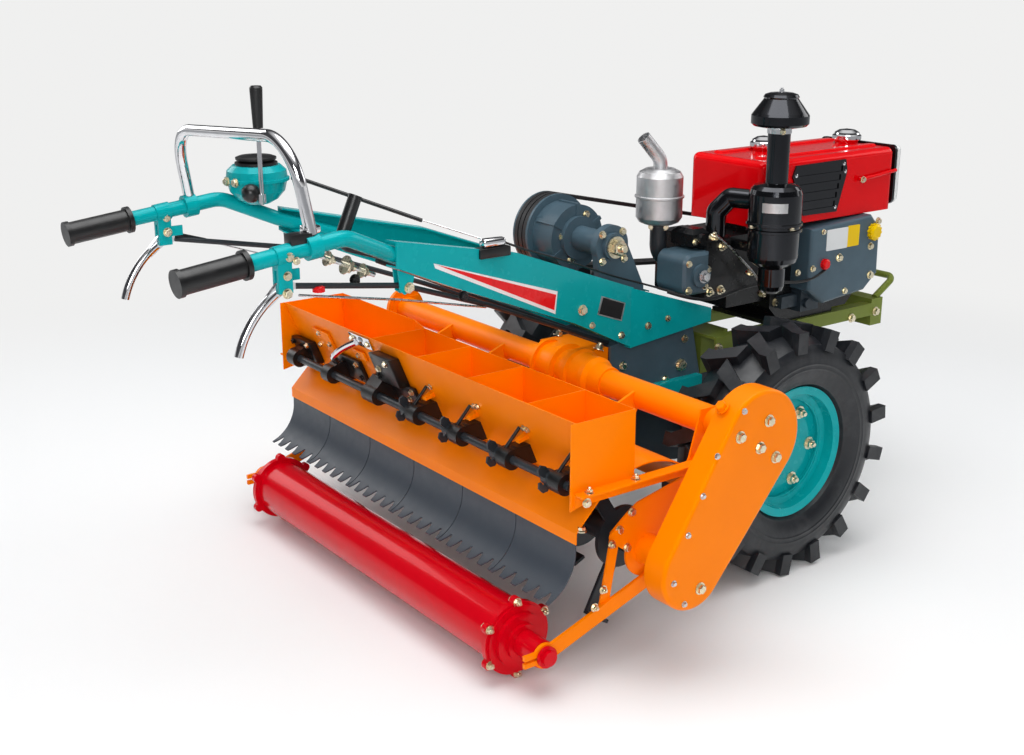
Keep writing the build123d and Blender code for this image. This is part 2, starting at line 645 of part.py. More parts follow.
def air_cleaner():
    """Oil-bath air cleaner: bowl, body with two bands, and round shoulders."""
    z0, z1 = CLEANER_Z
    r = CLEANER_R
    profile = [(0, BOWL_Z), (BOWL_R - 14, BOWL_Z), (BOWL_R - 4, BOWL_Z + 8), (BOWL_R, BOWL_Z + 20),
               (BOWL_R, z0 - 12),
               (r - 18, z0 - 2), (r - 7, z0 + 6), (r - 3, z0 + 18), (r - 3, 834), (r + 3, 836), (r + 3,
                                                                                                 842),
               (r - 2, 844), (r - 2, 850), (r + 4, 852), (r + 4, 858), (r, 860), (r, z1 - 26), (r - 4,
                                                                                                z1 - 14),
               (r - 13, z1 - 5), (STACK_R + 4, z1), (0, z1)]
    body = turned_z(*CLEANER_XY, profile)
    return body + box((CYL_X[1], CLEANER_XY[0] - r + 12), (78, 106), (770, 790))


def air_stack():
    """Inlet pipe with its cone-shaped rain cap."""
    stack = rod_z(*CLEANER_XY, (CLEANER_Z[1], STACK_TOP), STACK_R)
    z0, z1 = CAP_Z
    cap = [(0, z0 - 2), (STACK_R + 6, z0 - 2), (CAP_R - 6, z0 + 4), (CAP_R, z0 + 10), (CAP_R, z0 + 30),
           (CAP_R - 4, z0 + 36),
           (CAP_DISC_R, z1 - 16), (CAP_DISC_R + 2, z1 - 12), (CAP_DISC_R - 2, z1 - 6), (CAP_DISC_R - 14,
                                                                                        z1 - 2), (0, z1)]
    return stack + turned_z(*CLEANER_XY, cap)


def intake_elbow():
    x, y = CLEANER_XY
    start = (x - CLEANER_R + 2, y - 12, 905)
    path = [start, (138, 60, 905), (112, 38, 868), (112, 38, HEAD_Z[1])]
    elbow = pipe(path, 26, 16)
    return elbow - rod_z(*CLEANER_XY, (CLEANER_Z[0], CLEANER_Z[1] + 5), CLEANER_R + FIT)


def muffler():
    """Silver can with a seam band and a bent, open outlet pipe."""
    z0, z1 = MUFFLER_Z
    r, band = MUFFLER_R, sum(MUFFLER_Z) / 2
    profile = [(0, z0), (r - 22, z0), (r - 8, z0 + 6), (r, z0 + 18), (r, band - 4), (r + 4, band - 2),
               (r + 4, band + 2),
               (r, band + 4), (r, z1 - 20), (r - 7, z1 - 8), (r - 22, z1), (0, z1)]
    can = turned_z(*MUFFLER_XY, profile)
    x, y = MUFFLER_XY
    mouth = (x + OUTLET_RUN[0], y + OUTLET_RUN[1], OUTLET_TOP)
    path = [(x, y, z1 - 3), (x, y, OUTLET_TOP - OUTLET_RUN[2]), mouth]
    past = along(path[1], mouth, (Vector(*mouth) - Vector(*path[1])).length + 5)
    bore = pipe([(x, y, z1 + 4), path[1], past], OUTLET_R_IN, OUTLET_BEND)
    return can + pipe(path, OUTLET_R, OUTLET_BEND) - bore


def exhaust_elbow():
    x, y = MUFFLER_XY
    path = [(x, y, MUFFLER_Z[0]), (x, y, EXHAUST_LOW_Z), (x, HEAD_REAR_Y, EXHAUST_LOW_Z)]
    return pipe(path, EXHAUST_R, EXHAUST_BEND) + rod_z(x, y, (MUFFLER_Z[0] - 12, MUFFLER_Z[0]),
                                                       EXHAUST_R + 4)


# Handles

def strip(points, t):
    """A band of thickness t under or over a line of points in Y and Z."""
    return points + [(y, z + t) for y, z in reversed(points)]


def channel(top, low, flange_w):
    """A pressed channel, web outwards at FRAME_HALF_W, whose flanges follow the top and low lines."""
    web = plate_x((FRAME_HALF_W - FRAME_T, FRAME_HALF_W), outline(top + low[::-1]))
    x = (FRAME_HALF_W - flange_w, FRAME_HALF_W)
    return web + plate_x(x, outline(strip(top, -FRAME_T))) + plate_x(x, outline(strip(low, FRAME_T)))


def along(start, end, distance):
    """The point at a distance from start towards end."""
    step = (Vector(*end) - Vector(*start)).normalized() * distance
    return tuple(Vector(*start) + step)


def handle_point(distance):
    """A point on the handle's last run, at a distance from the grip's end."""
    return along(HANDLE_PATH[-1], HANDLE_PATH[-2], distance)


def handle_frame():
    """Two pressed channels that open out towards the handles, the handles welded into them and two ties."""
    front = channel(FRAME_TOP[:2], FRAME_LOW[:2], FRAME_HALF_W - BOX_HALF_W - SIDE_PLATE_T)
    angle = degrees(atan2(SPLAY_END_X - FRAME_HALF_W, SPLAY_Y - SPLAY_END_Y))
    lapped_top = [(SPLAY_Y + SPLAY_LAP, FRAME_TOP[1][1])] + FRAME_TOP[2:]
    lapped_low = [(SPLAY_Y + SPLAY_LAP, FRAME_LOW[1][1])] + FRAME_LOW[2:]
    hinge = Pos(FRAME_HALF_W, SPLAY_Y, 0)
    rear = hinge * Rot(0, 0, angle) * hinge.inverse() * channel(lapped_top, lapped_low, FRAME_FLANGE)
    rear -= box((0, BOX_HALF_W + SIDE_PLATE_T), (GEARBOX_TOP[0][0], SPLAY_Y + SPLAY_LAP * 2), (0, 600))
    side = front + rear + pipe(HANDLE_PATH[:-1] + [handle_point(GRIP_CAP_T)], HANDLE_R, HANDLE_BEND)
    for x in GUIDE_X:
        side += plate_x((x, x + GUIDE_T), outline(GUIDE_FACE))
    inner = FRAME_HALF_W - FRAME_T
    bridge = box((-inner, inner), (SPLAY_Y, BRIDGE_FRONT_Y), (BRIDGE_Z, BRIDGE_Z + BRIDGE_T))
    tie_y, tie_z = TIE_YZ
    tie = box((-TIE_HALF, TIE_HALF), (tie_y, tie_y + 30), (tie_z, tie_z + FRAME_T))
    return side + mirrored(side) + bridge + tie


def grips():
    """Rubber grips pushed over the handles, with a bead at each end."""
    end = HANDLE_PATH[-1]
    rubber = rod(end, handle_point(GRIP_LENGTH), GRIP_R) + rod(end, handle_point(GRIP_BEAD), GRIP_R + 3)
    rubber += rod(handle_point(GRIP_LENGTH - GRIP_BEAD), handle_point(GRIP_LENGTH), GRIP_R + 5)
    rubber -= rod(handle_point(GRIP_CAP_T), handle_point(GRIP_LENGTH + 1), HANDLE_R + FIT)
    return Compound([rubber, mirrored(rubber)])


def handle_collars():
    """Clamps that hold the feet of the U bar, and the brake lever brackets under the handles."""
    ring = rod(handle_point(COLLAR_AT - 14), handle_point(COLLAR_AT + 14), COLLAR_R)
    x, y, z = handle_point(BRAKE_AT)
    low, under = BRAKE_PIVOT_Z - BRACKET_HALF[1], z - HANDLE_R
    half_x, half_y = BRACKET_HALF
    bracket = box((x - half_x, x + half_x), (y - half_y, y + half_y), (low, under + 6))
    bracket += box((x - half_x, x - half_x + 4), (y + half_y - 1, y + half_y + 26),
                   (BRAKE_PIVOT_Z + 4, BRAKE_PIVOT_Z + 26))
    bracket -= box((x - BRACKET_IN_HALF, x + BRACKET_IN_HALF), (y - 40, y + 40), (low - 1, under - 12))
    side = ring + rod(handle_point(BRAKE_AT - 17), handle_point(BRAKE_AT + 17), HANDLE_R + 3) + bracket
    side -= rod(handle_point(COLLAR_AT + 60), handle_point(BRAKE_AT - 60), HANDLE_R + FIT)
    return Compound([side, mirrored(side)])


def u_bar():
    """Chrome hoop that the driver leans on."""
    x, y, z = handle_point(COLLAR_AT)
    z += COLLAR_R - 1
    path = [(x, y, z), (U_BAR_HALF, U_BAR_Y, U_BAR_RIGHT_Z), (-U_BAR_HALF, U_BAR_Y, U_BAR_LEFT_Z),
            (-x, y, z)]
    hoop = pipe(path, U_BAR_R, U_BAR_BEND)
    for side in (1, -1):
        a, b = handle_point(COLLAR_AT - 20), handle_point(COLLAR_AT + 20)
        hoop -= rod((side * a[0], a[1], a[2]), (side * b[0], b[1], b[2]), COLLAR_R + FIT)
    return hoop


def gear_head():
    """Cast shift housing on the left handle, in two halves with a seam band."""
    z0, z1 = GEAR_HEAD_Z
    r, seam = GEAR_HEAD_R, z1 - 32
    body = turned_z(*GEAR_HEAD_XY, [(0, z0), (r - 42, z0), (r - 24, z0 + 10), (r - 8, z0 + 28),
                                    (r - 2, seam - 4),
                                    (SEAM_R, seam - 3), (SEAM_R, seam + 3), (r - 1, seam + 4), (r - 3,
                                                                                                z1 - 12),
                                    (r - 16, z1), (0, z1)])
    path = HANDLE_PATH
    return body - mirrored(rod(path[1], path[2], HANDLE_R + FIT))


def gear_lever():
    """Chrome shift rod with its pivot pin, which stands beside the housing."""
    x, y = GEAR_LEVER_XY
    z0, z1 = GEAR_LEVER_Z
    pin_z = z0 + 14
    pin = rod((*GEAR_HEAD_XY, pin_z), (x, y, pin_z), 7) - pieces["gear_head"]
    return rod_z(x, y, (z0, z1), 5) + pin + rod_z(x, y, (pin_z - 10, pin_z + 10), 9)


def second_lever():
    """Engine speed lever, bent up from the rear tie."""
    x, y, z = SECOND_LEVER[0]
    lever = pipe(SECOND_LEVER, 7, 22)
    return lever - box((x - 20, x + 20), (y - 20, y + 20), (z - 20, z))


def lever_grips():
    """Grips of both levers, and the rubber bellows on the shift housing."""
    x, y = GEAR_LEVER_XY
    z = GEAR_LEVER_Z[1]
    tall = turned_z(x, y, [(0, z), (11, z), (14, z + 80), (14, z + 86), (11, z + 90), (0, z + 90)])
    z, r = GEAR_HEAD_Z[1], GEAR_HEAD_R - 22
    rings = [(0, z), (r, z), (r, z + 6), (r - 7, z + 8), (r - 2, z + 13), (r - 2, z + 17),
             (r - 10, z + 20), (0, z + 24)]
    bellows = turned_z(*GEAR_HEAD_XY, rings)
    low, high = SECOND_LEVER[-2:]
    top = along(low, high, (Vector(*high) - Vector(*low)).length + SECOND_GRIP_LENGTH)
    return Compound([tall, rod(high, top, SECOND_GRIP_R), bellows])


def brake_levers():
    """Curved chrome levers under the handles, flat where they turn in their brackets."""
    x, y, _ = handle_point(BRAKE_AT)
    z = BRAKE_PIVOT_Z
    path = ThreePointArc((x, y - 2, z - 6), (x, y + LEVER_MID[0], z + LEVER_MID[1]),
                         (x, y + LEVER_TIP[0], z + LEVER_TIP[1]))
    lever = sweep(Plane(path @ 0, z_dir=path % 0) * Circle(BRAKE_R), path=path)
    flat = (x - BRAKE_BLADE_HALF, x + BRAKE_BLADE_HALF)
    flare = [(y - 34, z - 40), (y - 44, z - 26), (y - 10, z + 10), (y + 8, z + 10), (y + 24, z + 2),
             (y + 24, z - 10), (y, z - 14)]
    lever += plate_x(flat, outline(flare)) + rod_x(flat, y, z, BRAKE_BLADE_R)
    for side in ((x - 30, flat[0]), (flat[1], x + 30)):
        lever -= box(side, (y - 19, y + 40), (z - 20, z + 40))
    return Compound([lever, mirrored(lever)])


def control_rods():
    """Rods from the levers to the gearbox, which lie between the handle channels."""
    side = pipe(SIDE_ROD, ROD_R, ROD_BEND)
    rods = []
    for one in (side, mirrored(side), rod(*MIDDLE_ROD, ROD_R)):
        for seat in ("gearbox", "handle_frame", "handle_collars", "brake_levers"):
            one -= pieces[seat]
        rods.append(one)
    return Compound(rods)


# Seeder

def main_tube():
    """Cross tube that carries the seeder, with its castings and the block bolted to the gearbox."""
    tube = rod_x((SEED_LEFT - 12, CASE_IN_X), TUBE_Y, TUBE_Z, TUBE_R)
    for x0, x1, r in TUBE_FLANGES:
        tube += rod_x((x0, x1), TUBE_Y, TUBE_Z, r)
    tube += Pos(0, TUBE_Y, TUBE_Z) * revolve(outline(TUBE_CASTING), Axis.X)
    tube += box(HITCH_X, (TUBE_Y, GEARBOX_TOP[0][0]), HITCH_Z)
    return tube - rod_x((SEED_LEFT + 1, CASE_IN_X - 12), TUBE_Y, TUBE_Z, TUBE_R - TUBE_WALL)


def chain_case():
    """Chain case in two halves: tube end above, rotor end below."""
    face = two_circles((TUBE_Y, TUBE_Z), CASE_TOP_R, (ROTOR_Y, ROTOR_Z), CASE_LOW_R)
    back = plate_x((CASE_IN_X, CASE_SPLIT_X), face)
    back -= rod_x((CASE_IN_X - 1, CASE_SPLIT_X - 5), ROTOR_Y, ROTOR_Z, ROTOR_STUB_R + RUN_FIT)
    cover = plate_x((CASE_SPLIT_X, CASE_OUT_X), face)
    return back, fillet(cover.faces().sort_by(Axis.X)[-1].edges(), 9)


def seeder_side_plates():
    """End plates of the rotor hood, hung on the cross tube, with the rotor's bearings."""
    face = outline(SIDE_FACE) + Pos(ROTOR_Y, ROTOR_Z) * Circle(62)
    plate = plate_x((SEED_RIGHT - SIDE_T, SEED_RIGHT), face)
    plate -= rod_x((SEED_IN[1] - 1, SEED_RIGHT + 1), TUBE_Y, TUBE_Z, TUBE_R + FIT)
    right = plate + rod_x((SEED_RIGHT, CASE_IN_X), ROTOR_Y, ROTOR_Z, BEARING_SLEEVE_R)
    left = mirrored(plate, SEED_MID) + rod_x((SEED_LEFT - BEARING_END, SEED_LEFT), ROTOR_Y, ROTOR_Z, 42)
    stub = (SEED_LEFT - BEARING_END + 8, CASE_IN_X + 1)
    bore = rod_x(stub, ROTOR_Y, ROTOR_Z, ROTOR_STUB_R + RUN_FIT)
    return Compound([right - bore, left - bore])


def rotor():
    """Tined rotor: a shaft with discs, each with three bent blades."""
    x0, x1 = SEED_IN[0] + 6, SEED_IN[1] - 6
    shaft = rod_x((x0, x1), ROTOR_Y, ROTOR_Z, ROTOR_SHAFT_R)
    shaft += rod_x((SEED_LEFT - BEARING_END + 9, CASE_SPLIT_X - 7), ROTOR_Y, ROTOR_Z, ROTOR_STUB_R)
    pitch = (x1 - x0 - 130) / (ROTOR_DISCS - 1)
    top = sqrt(ROTOR_TIP_R ** 2 - (BLADE_W / 2) ** 2)
    stem = box((0, BLADE_T), (-BLADE_W / 2, BLADE_W / 2), (ROTOR_DISC_R - 30, top))
    foot = box((0, 48), (-BLADE_W / 2, BLADE_W / 2), (top - BLADE_T, top))
    blade = stem + foot
    extra = []
    for i in range(ROTOR_DISCS):
        x = x0 + 60 + i * pitch
        extra.append(rod_x((x - 10, x), ROTOR_Y, ROTOR_Z, ROTOR_DISC_R))
        for k in range(BLADES_PER_DISC):
            turn = Rot(i * 34 + k * 360 / BLADES_PER_DISC, 0, 0)
            one = mirror(blade, about=Plane.YZ) if (i + k) % 2 else blade
            extra.append(Pos(x - (BLADE_T if (i + k) % 2 == 0 else 0), ROTOR_Y, ROTOR_Z) * turn * one)
    return shaft + extra


def rotor_hood():
    """Bent sheet over the rotor, whose rear edge carries the flaps."""
    r_out = HOOD_IN_R + SHEET_T
    dy, dz = SHELF_Y - ROTOR_Y, SHELF_Z - ROTOR_Z
    turn = atan2(dz, dy) - acos(r_out / hypot(dy, dz))

    def at(r, angle):
        return (ROTOR_Y + r * cos(angle), ROTOR_Z + r * sin(angle))

    middle = (turn + HOOD_FRONT_ANGLE) / 2
    edge = (SHELF_Y, SHELF_Z)
    inner_edge = (SHELF_Y - SHEET_T * cos(turn), SHELF_Z - SHEET_T * sin(turn))
    lines = Line(edge, at(r_out, turn)) + ThreePointArc(at(r_out, turn), at(r_out, middle),
                                                        at(r_out, HOOD_FRONT_ANGLE))
    lines += Line(at(r_out, HOOD_FRONT_ANGLE), at(HOOD_IN_R, HOOD_FRONT_ANGLE))
    lines += ThreePointArc(at(HOOD_IN_R, HOOD_FRONT_ANGLE), at(HOOD_IN_R, middle), at(HOOD_IN_R, turn))
    lines += Line(at(HOOD_IN_R, turn), inner_edge) + Line(inner_edge, edge)
    sheet = plate_x(SEED_IN, make_face(lines.edges()))
    sheet += box(SEED_IN, (SHELF_Y, SHELF_Y + SHEET_T), (SHELF_Z - LIP_H, SHELF_Z))
    for x in RIB_X:
        rib = plate_x((x, x + RIB_T), outline(RIB_FACE))
        rib -= rod_x((x - 1, x + RIB_T + 1), ROTOR_Y, ROTOR_Z, r_out)
        sheet += rib - rod_x((x - 1, x + RIB_T + 1), TUBE_Y, TUBE_Z, TUBE_R + FIT)
    return sheet


def wall_y(z):
    """The outer face of the hopper's leaning rear wall at a height."""
    rise = (z - HOPPER_FOOT_Z) / (HOPPER_TOP - HOPPER_FOOT_Z)
    return HOPPER_FOOT_Y + (HOPPER_REAR_Y - HOPPER_FOOT_Y) * rise


def hopper_section(front, top):
    """The hopper's outline in Y and Z up to a height, with its sloping floor."""
    rise = (HOPPER_FRONT_Z - HOPPER_FOOT_Z) / (HOPPER_WIDE_Y - HOPPER_FOOT_Y)
    floor_end = HOPPER_FOOT_Z + rise * (front - HOPPER_FOOT_Y)
    return outline([(wall_y(top), top), (HOPPER_FOOT_Y, HOPPER_FOOT_Z), (front, floor_end), (front, top)])


def hopper():
    """Open sheet hopper with four dividers and a wider left compartment."""
    t, step = HOPPER_T, DIVIDERS[0] - HOPPER_STEP
    body = plate_x((SEED_LEFT, SEED_RIGHT), hopper_section(HOPPER_WIDE_Y, HOPPER_TOP))
    ahead = outline([(step, HOPPER_WIDE_Y), (DIVIDERS[0], HOPPER_FRONT_Y), (SEED_RIGHT + t, HOPPER_FRONT_Y),
                     (SEED_RIGHT + t, HOPPER_WIDE_Y + t), (step, HOPPER_WIDE_Y + t)])
    body -= Pos(0, 0, HOPPER_FOOT_Z) * extrude(ahead, HOPPER_TOP)
    for i, start in enumerate((SEED_LEFT, *DIVIDERS)):
        end = (*DIVIDERS, SEED_RIGHT - t)[i]
        front = HOPPER_FRONT_Y if i else HOPPER_WIDE_Y
        room = offset(hopper_section(front, HOPPER_TOP + 2 * HOPPER_STEP), -t, kind=Kind.INTERSECTION)
        room = plate_x((start + t, end), room)
        if i == 0:
            inside = outline([(start, HOPPER_REAR_Y - HOPPER_STEP), (start, front - t), (step, front - t),
                              (end, HOPPER_FRONT_Y - t), (end, HOPPER_REAR_Y - HOPPER_STEP)])
            room &= Pos(0, 0, HOPPER_FOOT_Z) * extrude(inside, HOPPER_TOP)
        body -= room
    rear = HOPPER_REAR_Y - END_PLATE_LAP
    for x0, front in ((SEED_RIGHT - t, HOPPER_FRONT_Y), (SEED_LEFT, HOPPER_WIDE_Y)):
        face = outline([(rear, HOPPER_TOP), (rear, END_PLATE_LOW), (front, END_PLATE_LOW + 40),
                        (front, HOPPER_TOP)])
        body += plate_x((x0, x0 + t), face)
    return body


def hopper_angles():
    """Angle bars that hold the hopper's ends to the side plates, and the tabs over the metering units."""
    x, low = SEED_RIGHT, ANGLE_TOP - ANGLE_LEG
    y = (HOPPER_REAR_Y - 4, ANGLE_FRONT_Y)
    bar = box((x, x + ANGLE_T), y, (low, ANGLE_TOP)) + box((x, x + ANGLE_LEG), y,
                                                           (ANGLE_TOP - ANGLE_T, ANGLE_TOP))
    tabs = []
    for star in STARS:
        z = METER_Z + 42
        face = [(wall_y(z), z), (wall_y(z + 12), z + 12), (wall_y(z) - TAB_REACH, z + 2),
                (wall_y(z) - TAB_REACH, z - 6)]
        tabs.append(plate_x((star + TAB_FROM, star + TAB_FROM + TAB_W), outline(face)))
    return Compound([bar, mirrored(bar, SEED_MID)] + tabs)


def metering_units():
    """Cast seed metering housings bolted to the hopper's rear wall, each with its thin lever."""
    units = []
    y, z = METER_Y, METER_Z
    for x0, x1, low, high in METERS:
        face = [(wall_y(z - low), z - low), (wall_y(z + high), z + high), (y + 12, z + high),
                (y - 16, z + 14),
                (y - 16, z - 12), (y + 6, z - low)]
        unit = plate_x((x0, x1), outline(face)) + rod_x((x0, x1), y, z, METER_BOSS_R)
        if x0 + WING_SIDE in STARS:
            foot = (x0 + 9, y - 8, z + 14)
            unit += rod(foot, (x0 + 22, wall_y(z + 66) - 2, z + 66), 4)
        units.append(unit - rod_x((x0 - 1, x1 + 1), y, z, METER_SHAFT_R + RUN_FIT))
    return Compound(units)


def metering_shaft():
    """Shaft through the metering housings with its winged hubs."""
    shaft = rod_x(METER_SHAFT_X, METER_Y, METER_Z, METER_SHAFT_R)
    for i, x in enumerate(STARS):
        shaft += rod_x((x - 13, x + 13), METER_Y, METER_Z, METER_HUB_R)
        for wing, angle in WINGS:
            leaf = extrude(Plane.YZ.offset(-WING_T / 2) * outline(wing), WING_T)
            shaft += Pos(x, METER_Y, METER_Z) * Rot(angle + i * 6, 0, 0) * leaf
    return shaft


def flaps():
    """Steel flaps behind the rotor: curved panels with a toothed lower edge."""
    y, z = SHELF_Y + SHEET_T, FLAP_BEND_Z
    centre = (y - FLAP_CURVE_R, z)

    def at(r, angle):
        return (centre[0] + r * cos(angle), centre[1] - r * sin(angle))

    r0, r1, end = FLAP_CURVE_R, FLAP_CURVE_R + FLAP_T, FLAP_END_ANGLE
    top = SHELF_Z - 8
    lines = Line((y, top), (y, z)) + ThreePointArc((y, z), at(r0, end / 2),
                                                   at(r0, end)) + Line(at(r0, end), at(r1, end))
    lines += ThreePointArc(at(r1, end), at(r1, end / 2), (y + FLAP_T, z)) + Line((y + FLAP_T, z),
                                                                                 (y + FLAP_T, top))
    lines += Line((y + FLAP_T, top), (y, top))
    face = make_face(lines.edges())
    x0, x1 = SEED_IN[0] + 2, SEED_IN[1] - 2
    width = (x1 - x0) / FLAP_COUNT
    teeth = int(width // TOOTH_PITCH)
    tip = at(r0, end)
    deep = tip[0] + TOOTH_DEPTH
    gap = outline([(-16, tip[0] - 8), (16, tip[0] - 8), (3, deep), (-3, deep)])
    notch = extrude(Plane.XY.offset(tip[1] - 30) * gap, 100)
    panels = []
    for i in range(FLAP_COUNT):
        start = x0 + i * width
        panel = plate_x((start, start + width - FLAP_GAP), face)
        for k in range(teeth):
            panel -= Pos(start + (k + 0.5) * (width - FLAP_GAP) / teeth, 0, 0) * notch
        panels.append(panel)
    return Compound(panels)


def roller():
    """Press roller: a tube with eared end rings, stepped caps and pins."""
    x0, x1 = ROLLER_X
    y, z = ROLLER_Y, ROLLER_Z
    tube = rod_x((x0, x1), y, z, ROLLER_R) - rod_x((x0 + 8, x1 - 8), y, z, ROLLER_R - ROLLER_WALL)
    ring_r, ring_x = ROLLER_RING_R - ROLLER_EAR_R, (x1 - ROLLER_RING_T, x1)
    end = rod_x(ring_x, y, z, ring_r)
    for i in range(ROLLER_EARS):
        end += Pos(0, y, z) * Rot(i * 360 / ROLLER_EARS, 0, 0) * rod_x(ring_x, 0, -ring_r, ROLLER_EAR_R)
    end -= rod_x((x1 - ROLLER_RING_T - 1, x1 - 8), y, z, ROLLER_R - 2)
    arm_in, arm_out = SEED_RIGHT + ARM_GAP, SEED_RIGHT + ARM_GAP + ARM_T
    end += turned_x(x1, y, z, ROLLER_CAPS) + rod_x((x1, arm_in - 1), y, z, ROLLER_PIN_R * 2)
    end += rod_x((arm_in - 1, arm_out + 1), y, z, ROLLER_PIN_R)
    end += turned_x(arm_out + 1, y, z, [(8, 24), (9, 17)])
    return tube + end + mirrored(end, (x0 + x1) / 2)


def flat_bar(x, a, b, half, ra, rb):
    """A flat bar from a to b in Y and Z with round ends."""
    length = hypot(b[0] - a[0], b[1] - a[1])
    middle = ((a[0] + b[0]) / 2, (a[1] + b[1]) / 2)
    angle = degrees(atan2(b[1] - a[1], b[0] - a[0]))
    bar = Pos(*middle) * Rot(0, 0, angle) * Rectangle(length, 2 * half)
    return plate_x(x, bar + Pos(*a) * Circle(ra) + Pos(*b) * Circle(rb))


def roller_arms():
    """Arms that carry the roller in split clamps at its pins, with the links that set their height."""
    x = (SEED_RIGHT + ARM_GAP, SEED_RIGHT + ARM_GAP + ARM_T)
    arm = flat_bar(x, ARM_PIVOT, (ROLLER_Y, ROLLER_Z), ARM_H / 2, ARM_H / 2, CLAMP_R)
    for z in (ROLLER_Z + CLAMP_SLOT / 2, ROLLER_Z - CLAMP_SLOT / 2 - CLAMP_LUG):
        arm += box(x, (ROLLER_Y - CLAMP_R - CLAMP_REACH, ROLLER_Y - CLAMP_R + 6), (z, z + CLAMP_LUG))
    arm -= box((x[0] - 4, x[1] + 4), (ROLLER_Y - CLAMP_R - CLAMP_REACH - 1, ROLLER_Y),
               (ROLLER_Z - CLAMP_SLOT / 2, ROLLER_Z + CLAMP_SLOT / 2))
    arm -= rod_x((x[0] - 4, x[1] + 4), ROLLER_Y, ROLLER_Z, ROLLER_PIN_R + RUN_FIT)
    arm += rod_x((SEED_RIGHT, x[0]), *ARM_PIVOT, 14)
    arm += flat_bar((SEED_RIGHT, SEED_RIGHT + ARM_GAP), STRUT_TOP, STRUT_LOW, 13, 15, 13)
    return Compound([arm, mirrored(arm, SEED_MID)])


def main():
    wheels()
    back, cover = chain_case()
    pieces["chain_case_back"] = back
    pieces["chain_case_cover"] = cover
    for make in (gearbox, gearbox_side_plates, hitch_bars, engine_bed, front_bumper, crankcase, gear_cover,
                 cylinder_block, cylinder_head, rocker_cover, valve_block, pump_block, flywheel, clutch,
                 drive_belts, bearing_bracket, tank_hood, side_grille, tank_caps, lamp_panel, air_cleaner,
                 air_stack, intake_elbow, muffler, exhaust_elbow, handle_frame, grips, handle_collars, u_bar,
                 gear_head, gear_lever, second_lever, lever_grips, brake_levers, control_rods, main_tube,
                 seeder_side_plates, rotor, rotor_hood, hopper, hopper_angles, metering_units,
                 metering_shaft, flaps, roller, roller_arms):
        pieces[make.__name__] = make()
    whole = Compound(list(pieces.values())).bounding_box()
    middle = whole.center()
    shift = Pos(-middle.X, -middle.Y, -whole.min.Z)
    os.makedirs("parts", exist_ok=True)
    for name, shape in pieces.items():
        export_step(shift * shape, os.path.join("parts", name + ".step"))
    return shift


SHIFT = main()
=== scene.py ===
import bpy
import bmesh
from math import atan2, cos, pi, radians, sin
from mathutils import Matrix, Vector


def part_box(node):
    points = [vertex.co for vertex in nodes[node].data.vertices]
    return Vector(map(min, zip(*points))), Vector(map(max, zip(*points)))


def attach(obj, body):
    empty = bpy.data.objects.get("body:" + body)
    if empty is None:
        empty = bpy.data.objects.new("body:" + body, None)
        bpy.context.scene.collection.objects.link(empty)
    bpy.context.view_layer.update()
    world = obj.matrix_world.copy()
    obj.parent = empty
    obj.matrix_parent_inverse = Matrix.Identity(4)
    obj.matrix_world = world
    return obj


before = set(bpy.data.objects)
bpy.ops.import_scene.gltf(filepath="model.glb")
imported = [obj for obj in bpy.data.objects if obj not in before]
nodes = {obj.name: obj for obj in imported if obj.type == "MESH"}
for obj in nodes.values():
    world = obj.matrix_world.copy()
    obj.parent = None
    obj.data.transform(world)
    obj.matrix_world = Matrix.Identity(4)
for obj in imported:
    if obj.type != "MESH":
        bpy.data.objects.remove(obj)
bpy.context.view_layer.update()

# Camera. It stands behind the machine on its right side, a little above the handles, with the lens
# and the tilt that the photograph was taken with.
camera_data = bpy.data.cameras.new("camera")
camera_data.lens = 47.23
camera_data.sensor_width = 36.0
camera = bpy.data.objects.new("camera", camera_data)
camera.location = (2.5572, -2.050526, 1.48182)
camera.rotation_euler = (pi / 2 - 0.300444, 0, 0.931201)
bpy.context.collection.objects.link(camera)
bpy.context.scene.camera = camera
bpy.context.scene.view_settings.view_transform = "Standard"

# Studio. A pale floor under large soft lamps, as for a catalogue picture. Close to the machine the
# floor keeps its shadow, and farther off it runs into the white behind it without a line. The room
# that bright parts mirror is darker, so that chrome and enamel show streaks.
STUDIO_WHITE = (0.87, 0.87, 0.865, 1)
FLOOR_FADE = (1.7, 3.6)


def seen_ray(tree):
    """1 for what is seen, straight or mirrored in gloss, and 0 for the light that falls on the machine."""
    rays = tree.nodes.new("ShaderNodeLightPath")
    sight = tree.nodes.new("ShaderNodeMath")
    sight.operation = "MAXIMUM"
    clear = tree.nodes.new("ShaderNodeMath")
    clear.operation = "MAXIMUM"
    tree.links.new(rays.outputs["Is Camera Ray"], sight.inputs[0])
    tree.links.new(rays.outputs["Is Glossy Ray"], sight.inputs[1])
    tree.links.new(sight.outputs[0], clear.inputs[0])
    tree.links.new(rays.outputs["Is Transmission Ray"], clear.inputs[1])
    return clear.outputs[0]


world = bpy.data.worlds.new("studio")
bpy.context.scene.world = world
world.use_nodes = True
sky = world.node_tree
sky.nodes.clear()
sky_out = sky.nodes.new("ShaderNodeOutputWorld")
air = sky.nodes.new("ShaderNodeBackground")
air.inputs["Color"].default_value = (0.93, 0.96, 1.0, 1)
air.inputs["Strength"].default_value = 0.42
backdrop = sky.nodes.new("ShaderNodeBackground")
backdrop.inputs["Strength"].default_value = 1.0
heading = sky.nodes.new("ShaderNodeTexCoord")
height = sky.nodes.new("ShaderNodeSeparateXYZ")
room = sky.nodes.new("ShaderNodeValToRGB")
room.color_ramp.elements[0].position = 0.02
room.color_ramp.elements[0].color = STUDIO_WHITE
room.color_ramp.elements[1].position = 0.85
room.color_ramp.elements[1].color = (0.75, 0.75, 0.75, 1)
for rise in (0.14, 0.60):
    dim_wall = room.color_ramp.elements.new(rise)
    dim_wall.color = (0.06, 0.06, 0.065, 1)
sky.links.new(heading.outputs["Generated"], height.inputs[0])
sky.links.new(height.outputs["Z"], room.inputs["Fac"])
